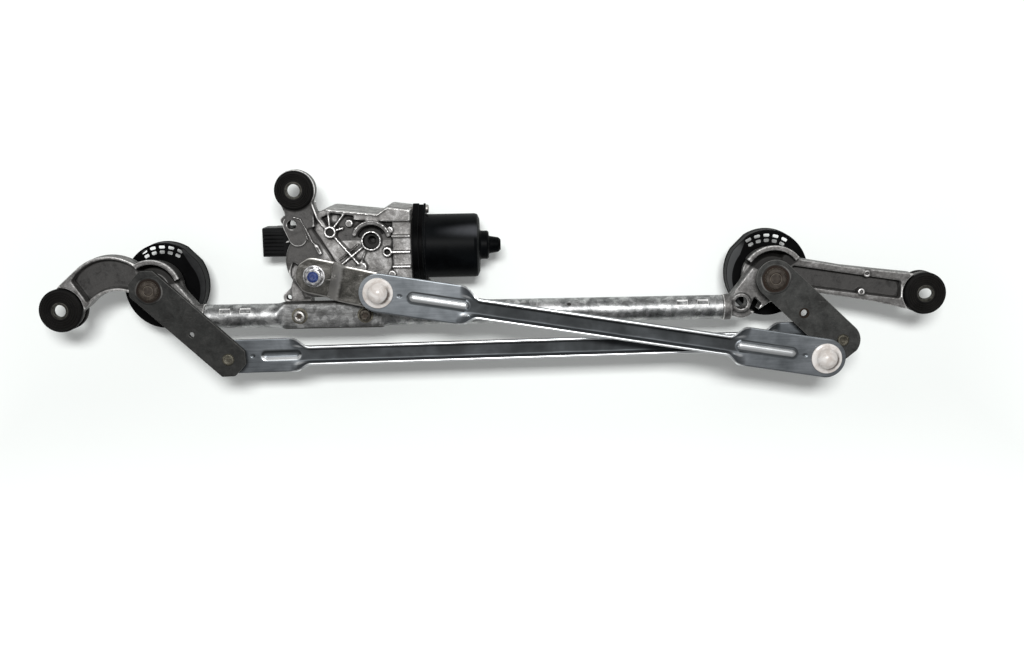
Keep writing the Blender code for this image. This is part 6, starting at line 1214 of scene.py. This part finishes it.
def buildCrank():
    # Sheet strip bent twice; the plan half width follows its cropped round ends.
    crank = {"reach": 61.0, "turn": -13.1, "half": 16.5, "sheet": 4.0, "low": 79.0, "high": 89.0,
             "bendStart": 16.5, "bendEnd": 28.0, "bevel": 0.6, "columns": 17, "power": 2.6, "crop": 1.42}
    half, reach, columns = crank["half"], crank["reach"], crank["columns"]
    cap = half * np.sin(np.radians(np.linspace(0.0, 90.0, 16)))
    xs = np.unique(np.concatenate([-cap, np.linspace(0.5, reach - 0.5, 110), reach + cap]))
    beyond = np.maximum(np.maximum(-xs, xs - reach), 0.0)
    width = half * np.sqrt(np.maximum(1.0 - (beyond / half) ** crank["power"], 0.0))
    width = np.where(xs < 0, np.minimum(width, half * crank["crop"] - beyond), width)
    start, end = crank["bendStart"], crank["bendEnd"]
    slope = (ease(xs, start - 2, start + 3) - ease(xs, end - 3, end + 2))
    rise = np.cumsum(np.concatenate([[0.0], slope[1:] * np.diff(xs)]))
    rise = rise / rise[-1] * (crank["high"] - crank["low"])
    tilt = np.arctan(np.gradient(rise, xs))
    t, b = crank["sheet"], crank["bevel"]
    across = np.linspace(-1, 1, columns)
    rows = []
    for w, tip in zip(width, tilt):
        edge = max(w - b, 0.0)
        top = [(v * edge, t) for v in across]
        bottom = [(v * edge, 0.0) for v in across[::-1]]
        side = [(w - b * 0.3, t - b * 0.3), (w, t - b), (w, b), (w - b * 0.3, b * 0.3)]
        loop = top + side + bottom + [(-y, z) for y, z in side[::-1]]
        if w < 0.2:
            loop = [(0.0, z) for _, z in loop]
        rows.append([(-z * math.sin(tip), y, z * math.cos(tip)) for y, z in loop])
    shape = np.array(rows) + np.stack([xs, np.zeros(len(xs)), rise + crank["low"]], 1)[:, None, :]
    edge = np.zeros(shape.shape[:2])
    edge[:, columns - 1:columns + 6] = 0.7
    edge[:, 2 * columns + 3:] = 0.7
    edge[:, 0] = 0.7
    # The slope of each bend gets a painted highlight.
    edge = np.maximum(edge, 0.85 * np.abs(slope)[:, None])
    dirt = 0.45 * (1 - ease(np.hypot(shape[..., 0], shape[..., 1]), 9.0, 15.0))
    skin = Skin(shape, netFaces(len(xs), shape.shape[1], False, True), edge, dirt)
    skin = skin.turned(crank["turn"]).moved(*outputAxis)
    makePiece("motorCrank", skin, crankZinc, "motor_crank", ["motor_crank_arm"], 40.0)
    rivet, ball = rivetSkin(crank["sheet"]).turned(180.0, "x"), studSkin(9.0, 0.0, False)
    for name, skin, high, body, node in (
            ("motorStudRivet", rivet, crank["high"], "motor_crank", "motor_stud_rivet"),
            ("motorBallStud", ball, crank["high"] + crank["sheet"], "drive_link", "motor_ball_stud"),
            ("leftBallStud", studSkin(11.5, 0.0, False).turned(180.0, "x"), leverLow, "tie_link",
             "left_ball_stud")):
        makePiece(name, skin.moved(*centreOf(node)[:2], high), rivetSteel, body, [node])


def buildNut():
    # Flanged nut: the radius is the smaller of a hexagon's and that of its chamfer cones.
    nut = {"flats": 14.0, "corner": 8.0, "flange": 8.8, "flangeHigh": 1.4, "high": 6.6, "bore": 4.05,
           "low": 83.3, "washer": (9.9, 5.4, 83.02, 83.55)}

    def hexed(radius, height, angle):
        flat = nut["flats"] / 2 / np.cos((angle + math.pi / 6) % (math.pi / 3) - math.pi / 6)
        chamfer = nut["flats"] / 2 + np.maximum(nut["high"] - height, 0.0) * 1.7
        six = np.minimum(flat, chamfer) * radius / nut["corner"]
        return np.where((height > nut["flangeHigh"] + 0.3) & (radius > 6.0), six,
                        radius * np.ones_like(angle)), height

    line = [(nut["bore"], nut["high"] - 0.3), (nut["bore"] + 0.5, nut["high"]), (6.9, nut["high"])]
    line += [(nut["corner"], h) for h in np.linspace(nut["high"] - 0.05, nut["flangeHigh"] + 0.5, 8)]
    line += [(8.3, nut["flangeHigh"] + 0.2), (nut["flange"], nut["flangeHigh"] - 0.4), (nut["flange"], 0.0),
             (nut["bore"], 0.0)]
    skin = lathe(line, 144, 0.12, True, hexed)
    x, y = outputAxis
    makePiece("crankNut", skin.turned(11.0).moved(x, y, nut["low"]), nutSteel, "motor_crank", ["crank_nut"],
              30.0)
    outer, inner, low, top = nut["washer"]
    washer = lathe([(outer, top), (outer, low), (inner, low), (inner, top)], 72, 0.15, True)
    makePiece("crankWasher", washer.moved(x, y), nutSteel, "motor_crank")
    low, top = boxOf("output_shaft")[0][2], boxOf("output_shaft")[1][2]
    shaft = lathe([(0.0, top - 0.5), (1.2, top - 0.4), (1.7, top), (3.1, top), (4.0, top - 0.8), (4.0, 82.5),
                   (5.2, 82.5), (5.2, 78.7), (6.0, 78.7), (6.0, 51.3), (9.0, 51.3), (9.0, 49.8), (6.0, 49.8),
                   (6.0, low), (0.0, low)], 60, 0.3)
    paint = lathe([(0.0, top - 0.35), (1.2, top - 0.25), (1.7, top + 0.12), (3.1, top + 0.15),
                   (4.3, top - 0.7), (4.9, 90.1), (5.3, 89.7), (3.5, 89.4), (0.0, 89.4)], 60, 0.3)
    makePiece("outputShaft", shaft.moved(x, y), brightSteel, "motor_crank", ["output_shaft"])
    makePiece("paintDab", paint.moved(x, y), bluePaint, "motor_crank")


def carried(outline, profile, edge=0.3, dirt=0.0):
    # A closed profile of inset and height is carried along an outline.
    rows = np.stack([np.column_stack([offsetRing(outline, -inset), np.full(len(outline), height)])
                     for inset, height in profile])
    marks = cornerMarks(np.array(profile), True)[:, None] * np.ones((1, len(outline)))
    return Skin(rows, netFaces(len(profile), len(outline), True, True), marks * edge, dirt)


def buildCover(side, pivot, way):
    # Cup open below: oval closed end with ten windows, a wall along the same outline with one flat side, and
    # a hub. A painted sheen lies on the end as a strip along the wall, wider towards the flat side.
    cup = {"radius": 39.9, "narrow": 0.95, "flat": 38.9, "flatTurn": 44.0, "low": 34.0, "top": 50.0,
           "wall": 1.6, "hub": 12.8, "hubLow": 38.0, "rows": ((29.2, 32.2), (34.0, 36.8)), "columns": 5,
           "pitch": 14.0, "window": 9.0, "move": (3.0, -0.8) if way > 0 else (1.0, 0.5),
           "grille": 2.0 if way > 0 else 0.0, "dust": 0.45 if way > 0 else 1.0, "spokes": 8}
    half = math.degrees(math.acos(cup["flat"] / cup["radius"]))
    start = 90.0 - way * cup["flatTurn"]
    outline = rounded(bow(cup["radius"], start + half, start + 360.0 - half, 150), 0.5, 2)
    outline = outline * [cup["narrow"], 1.0] + cup["move"]
    low, top, wall, hub = cup["low"], cup["top"], cup["wall"], cup["hub"]
    holes = [ring(hub, 64)]
    for inner, outer in cup["rows"]:
        for column in range(cup["columns"]):
            middleTurn = 90.0 + (column - (cup["columns"] - 1) / 2) * cup["pitch"]
            first, last = middleTurn - cup["window"] / 2, middleTurn + cup["window"] / 2
            corners = [polar(inner, first), polar(inner, last), polar(outer, last), polar(outer, first)]
            holes.append(rounded(corners, 1.3, 5) + [cup["grille"], 0.0])
    skin = plate(outline, holes, top - wall, top, 0.45)
    skin = skin + carried(outline, [(0.0, top - 0.5), (0.0, low + 1.2), (-0.5, low + 0.9), (-0.5, low + 0.2),
                                    (-0.3, low), (wall - 0.3, low), (wall, low + 0.3), (wall, top - 0.8)],
                          0.3, 0.3)
    # The shoulder starts at the last window, is widest past the flat and thins out round the inboard side.
    turn = (way * (start - np.degrees(np.arctan2(outline[:, 1], outline[:, 0]))) + 180.0) % 360.0 - 180.0
    width = np.interp(turn, [-16.0, -6.0, 10.0, 45.0, 90.0, 130.0], [0.0, 5.0, 7.4, 5.2, 2.8, 0.0])
    reach = np.hypot(outline[:, 0], outline[:, 1])
    rows = [np.column_stack([offsetRing(outline, -0.4) * (1 - width * part / reach)[:, None],
                             np.full(len(outline), top + lift)])
            for part, lift in ((0.0, 0.02), (0.04, 0.1), (0.96, 0.1), (1.0, 0.0))]
    # The strip's dust colour is a painted sheen, stronger on the right cover.
    dust = cup["dust"] * ease(width, 0.3, 3.0)
    skin = skin + Skin(np.stack(rows), netFaces(4, len(outline), False, True), 0.0, np.vstack([dust] * 4))
    skin = skin + lathe([(hub, top - 0.6), (hub + wall, top - 0.6), (hub + wall, cup["hubLow"]),
                         (hub, cup["hubLow"])], 64, 0.3, True)
    collar = lathe([(16.2, top + 0.2), (19.4, top + 0.25), (19.9, top - 0.6), (15.8, top - 0.6)], 72, 0.2,
                   True)
    for number in range(cup["spokes"]):
        spoke = plate(rectangle(20.0, -0.6, 24.4, 0.6), [], top - 0.6, top + 0.25, 0.2, 2)
        skin = skin + spoke.turned((number + 0.5) * 360.0 / cup["spokes"])
    skin = (skin + collar).moved(*pivot)
    makePiece(side + "Cover", skin, coverPlastic, "frame", [side + "_cover"], 34.0)


def buildGrommet(side, radius, hole):
    # Rubber ring with a waist and concentric ridges on its upper face; the sleeve's bore is an oval that is
    # given by its two half widths.
    mount = {"low": 63.7, "high": 74.3, "lip": 6.0, "waist": 12.7, "bore": 7.8, "ridges": 4, "sleeve": 7.9,
             "sleeveLong": 4.7}
    low, high, waist, bore = mount["low"], mount["high"], mount["waist"], mount["bore"]
    top, bottom = high + mount["lip"], low - mount["lip"]
    upper = [(bore, top), (bore + 1.6, top)]
    for inner in np.linspace(bore + 2.2, radius - 3.4, mount["ridges"]):
        upper += [(inner, top - 0.75), (inner + 0.35, top), (inner + 1.15, top), (inner + 1.5, top - 0.75)]
    upper += [(radius - 1.6, top - 0.75), (radius - 0.3, top - 1.6), (radius, top - 3.0)]
    line = upper + [(radius, high), (waist, high), (waist, low), (radius, low), (radius, bottom + 1.0),
                    (radius - 0.8, bottom), (15.4, bottom), (11.6, low + 1.0), (11.4, high - 1.5),
                    (bore, top - 4.6)]
    skin = lathe(line, 96, 0.3, True)
    skin.marks["dirt"][:] = 0.3
    makePiece(side + "Grommet", skin.moved(*eyes[side]), rubber, "frame", [side + "_grommet"])

    def slotted(r, h, angle):
        wide, narrow = hole
        slot = wide * narrow / np.hypot(narrow * np.cos(angle), wide * np.sin(angle))
        return np.where(r < 7.2, slot + (r - 6.0), r * np.ones_like(angle)), h

    outer, end, start = mount["sleeve"], top + 0.3, top + 0.3 - mount["sleeveLong"]
    sleeve = lathe([(outer, end), (outer, start), (6.0, start), (6.0, end)], 72, 0.3, True, slotted)
    sleeve.marks["dirt"] = sleeve.marks["dirt"] + 0.3
    makePiece(side + "BoltSleeve", sleeve.moved(*eyes[side]), sleeveSteel, "frame", [side + "_spacer"])


def buildMotor():
    # Profiles carried round the motor's axis, then laid along X.
    can = {"radius": 29.5, "length": 51.2, "boss": 13.2, "bossLength": 8.5, "tip": 8.0, "tipLength": 11.0,
           "lug": 34.5, "lugRadius": 5.2, "lugHole": 2.3, "dustTurn": 33.0}
    face = boxOf("motor_yoke")[0][0]
    radius, end, boss = can["radius"], can["length"], can["boss"]
    bossEnd = end + can["bossLength"]
    tipEnd = bossEnd + can["tipLength"]
    line = [(0.0, tipEnd), (4.6, tipEnd), (6.8, tipEnd - 2.2), (can["tip"], bossEnd + 1.5),
            (can["tip"] + 0.6, bossEnd), (11.8, bossEnd), (boss, bossEnd - 1.4), (boss, end + 1.5),
            (boss + 1.6, end), (24.5, end), (26.0, end - 0.6), (radius - 0.9, end - 1.8), (radius, end - 4.2),
            (radius, 3.5), (radius + 0.4, 2.0), (radius + 0.4, 0.0), (27.0, 0.0), (27.0, end - 2.5),
            (6.0, end - 2.5), (6.0, bossEnd + 3.0), (0.0, bossEnd + 3.0)]
    skin = lathe(line, 128, 0.9)
    x, y, z = skin.points.T
    turn = np.degrees(np.arctan2(y, -x))  # from the top towards the rear
    # A painted highlight: a lighter band along the can, about 33 degrees round from the top towards the rear.
    dustAndSheen = np.exp(-((turn - can["dustTurn"]) / 13.0) ** 2) * ease(z, 4.0, 8.0) * (z < end - 1.0)
    skin.marks["dirt"] = dustAndSheen * (np.hypot(x, y) > radius - 2.0)
    lugs = [(0, can["lug"]), (0, -can["lug"])]
    outline = belt([(0, 0, radius + 1.0)] + [(*place, can["lugRadius"]) for place in lugs], 96)
    lugHoles = [ring(can["lugHole"], 24, place) for place in lugs]
    skin = skin + plate(outline, [ring(28.2, 96)] + lugHoles, 0.0, 2.0, 0.5)
    skin = skin.turned(90.0, "y").moved(face, wormY, motorZ)
    makePiece("motorYoke", skin, yokePaint, "frame", ["motor_yoke"], 40.0)
    low, high = boxOf("brush_holder")
    thick = high[0] - low[0]
    block = plate(outline, [ring(3.6, 32)] + lugHoles, 0.0, thick * 0.62, 0.6)
    block = block + plate(offsetRing(outline, -1.1), [ring(11.0, 48)], thick * 0.62 - 0.5, thick, 0.5)
    for side in (-26.0, 26.0):
        block = block + plate(rectangle(-7.0, side - 3.2, 7.0, side + 3.2), [], 1.0, thick - 1.0, 0.6)
    block = block.turned(90.0, "y").moved(low[0], wormY, motorZ)
    makePiece("brushHolder", block, coverPlastic, "frame", ["brush_holder"], 34.0)
    headHigh = 2.4
    for name in ("yoke_screw_lower", "yoke_screw_upper"):
        start, end = boxOf(name)[0][0], boxOf(name)[1][0]
        screw = screwSkin(4.0, headHigh, end - start - headHigh, 2.0).turned(90.0, "y")
        makePiece(name.replace("_", ""), screw.moved(end - headHigh, *centreOf(name)[1:]), brightSteel,
                  "frame", [name], 30.0)


def screwSkin(head, high, length, shank):
    # Pan head with a six-lobed recess whose radius waves with the angle, and its shank.
    def lobed(radius, height, angle):
        inner = head * (0.46 + 0.075 * np.cos(6 * angle))
        return np.where(radius < head * 0.56, radius / (head * 0.5) * inner,
                        radius * np.ones_like(angle)), height

    line = [(0.0, high * 0.42), (head * 0.5, high * 0.42), (head * 0.5, high * 0.97), (head * 0.60, high),
            (head * 0.84, high * 0.94), (head * 0.97, high * 0.66), (head, high * 0.3), (head, 0.0),
            (shank, 0.0), (shank, -length), (0.0, -length)]
    skin = lathe(line, 96, 0.12, False, lobed)
    radius = np.hypot(skin.points[:, 0], skin.points[:, 1])
    skin.marks["dirt"] = np.where((radius < head * 0.56) & (skin.points[:, 2] < high * 0.9), 0.9, 0.12)
    return skin


def buildTubeScrews():
    washer = {"radius": 7.4, "high": 0.65, "bore": 3.0}
    screw = {"head": 5.6, "high": 4.2, "length": 30.0, "shank": 2.8}
    for name in ("tube_screw_left", "tube_screw_right"):
        high = boxOf(name)[1][2]
        x, y = centreOf(name)[:2]
        seat = high - screw["high"]
        finish = brightSteel if "left" in name else brownSteel
        skin = screwSkin(screw["head"], screw["high"], screw["length"], screw["shank"]).moved(x, y, seat)
        makePiece(name.replace("_", ""), skin, finish, "frame", [name], 30.0)
        top, low = seat - 0.05, seat - 0.05 - washer["high"]
        disc = [(washer["radius"], top), (washer["radius"], low), (washer["bore"], low),
                (washer["bore"], top)]
        disc = lathe(disc, 64, 0.15, True, edge=0.15)
        makePiece(name.replace("_", "") + "Washer", disc.moved(x, y), rivetSteel, "frame")


print("surfaces ready")
buildTube()
print("tube made")
buildLeftHousing()
buildRightHousing()
print("pivot housings made")
buildGearHousing()
buildGearCover()
print("gear case made")
driveStart, driveEnd = centreOf("drive_link_motor_socket")[:2], frontBall[:2]
tieStart, tieEnd = centreOf("left_ball_stud")[:2], rearBall[:2]
buildLink("driveLink", "drive_link", driveStart, driveEnd, half=17.2, floorHalf=7.0, plateLength=74.5,
          bead=2.2, plane=100.9)
buildLink("tieLink", "tie_link", tieStart, tieEnd, half=15.2, floorHalf=6.8, plateLength=56.0,
          bead=-2.0, plane=77.6)
print("links made")
buildLevers()
print("levers made")
buildCrank()
buildNut()
for node in ("drive_link_motor_socket", "drive_link_right_socket"):
    buildSocket(node, nylon, False)
for node in ("tie_link_left_socket", "tie_link_right_socket"):
    buildSocket(node, coverPlastic, True)
print("crank and sockets made")
buildCover("left", leftPivot, way=1)
buildCover("right", rightPivot, way=-1)
buildGrommet("left", radius=20.0, hole=(5.6, 5.6))
buildGrommet("right", radius=19.2, hole=(6.3, 4.8))
buildGrommet("top", radius=17.8, hole=(5.8, 5.8))
print("covers and mounts made")
buildMotor()
buildTubeScrews()
print("motor made")


def finishNodes():  # the CAD nodes that stay get a finish of their own
    finishes = {"cover_screw": brightSteel, "bush": bronze, "magnet": ferrite, "armature_shaft": brightSteel,
                "armature_core": leverSteel, "commutator": bronze, "worm_wheel": nylon, "circlip": leverSteel,
                "washer": brightSteel}
    for name, piece in nodes.items():
        for part, finish in finishes.items():
            if part in name:
                for slot in piece.material_slots:
                    slot.material = finish


finishNodes()
print("CAD nodes finished")


def buildStage():
    # The floor glows for the camera and in reflections only, more strongly away from the object.
    stage = {"floor": (0.85, 0.88, 0.862), "floorGlow": 0.45, "nearGlow": 0.21, "glowStart": (0.42, 0.10),
             "glowFull": (0.80, 0.45), "floorHalf": 4.0, "floorLow": -0.0004, "floorRoughness": 0.55,
             "ambient": 0.24, "aim": (0.0, 0.0, 0.05)}
    lamps = {"key": {"power": 42.0, "place": (0.03, 0.62, 2.10), "size": (0.6, 0.25)},
             "fill": {"power": 0.8, "place": (-1.3, 0.3, 1.0), "size": (0.6, 0.6)},
             "rim": {"power": 2.0, "place": (0.10, 1.60, 0.95), "size": (1.4, 0.3)}}
    half = stage["floorHalf"]
    mesh = bpy.data.meshes.new("floor")
    mesh.from_pydata([(x, y, stage["floorLow"]) for x, y in rectangle(-half, -half, half, half)], [],
                     [(0, 1, 2, 3)])
    floor = bpy.data.objects.new("floor", mesh)
    bpy.context.scene.collection.objects.link(floor)
    made = Finish("floorGloss", stage["floorRoughness"], specular=0.4)
    cloud = made.noise(1.2, 3.0, 0.6)
    rays = [made.node("ShaderNodeLightPath", output=key)
            for key in ("Is Camera Ray", "Is Glossy Ray", "Is Transmission Ray")]
    seen = (rays[0] + rays[1] + rays[2]).above(0.0, 1.0)
    reach = []
    for axis, low, high in zip("XY", stage["glowStart"], stage["glowFull"]):
        along = made.node("ShaderNodeSeparateXYZ", {}, {"Vector": made.where}, axis)
        reach.append(made.node("ShaderNodeMath", {"operation": "ABSOLUTE"}, {0: along}).above(low, high))
    far = reach[0].sum("MAXIMUM", *reach)
    near = (stage["nearGlow"],) * 3
    glow = made.mix(seen, (0.0, 0.0, 0.0), made.mix(far, near, (1.0, 1.0, 1.0)))
    made.tree.links.new(glow.socket, made.shader.inputs["Emission Color"])
    made.shader.inputs["Emission Strength"].default_value = stage["floorGlow"]
    mesh.materials.append(made.wear(made.mix(cloud, stage["floor"],
                                             tuple(c * 0.985 for c in stage["floor"]))))
    world = bpy.data.worlds.new("studio")
    bpy.context.scene.world = world
    world.use_nodes = True
    tree = world.node_tree
    background = tree.nodes["Background"]
    background.inputs["Strength"].default_value = 1.0
    path = tree.nodes.new("ShaderNodeLightPath")
    mix = tree.nodes.new("ShaderNodeMix")
    mix.data_type = "RGBA"
    mix.inputs[6].default_value = (stage["ambient"],) * 3 + (1.0,)
    mix.inputs[7].default_value = (1.0, 1.0, 1.0, 1.0)
    tree.links.new(path.outputs["Is Camera Ray"], mix.inputs[0])
    tree.links.new(mix.outputs[2], background.inputs["Color"])
    for name, kind in lamps.items():
        lamp = bpy.data.lights.new(name, "AREA")
        lamp.energy, lamp.shape = kind["power"], "RECTANGLE"
        lamp.size, lamp.size_y = kind["size"]
        holder = bpy.data.objects.new(name, lamp)
        holder.location = kind["place"]
        aim = Vector(stage["aim"]) - Vector(kind["place"])
        holder.rotation_euler = aim.to_track_quat("-Z", "Y").to_euler()
        bpy.context.scene.collection.objects.link(holder)


def buildCamera():
    shot = {"place": (48.0, 141.0, 1190.5), "turn": (-9.183, 0.013, -1.124), "lens": 43.33, "sensor": 36.0,
            "clip": 20.0}
    lens = bpy.data.cameras.new("photoCamera")
    lens.lens, lens.sensor_width, lens.clip_end = shot["lens"], shot["sensor"], shot["clip"]
    camera = bpy.data.objects.new("photoCamera", lens)
    camera.location = np.array(shot["place"]) / 1000.0 + middle
    camera.rotation_euler = [math.radians(angle) for angle in shot["turn"]]
    bpy.context.scene.collection.objects.link(camera)
    bpy.context.scene.camera = camera
    bpy.context.scene.view_settings.view_transform = "Standard"


buildStage()
buildCamera()
print("stage and camera set")
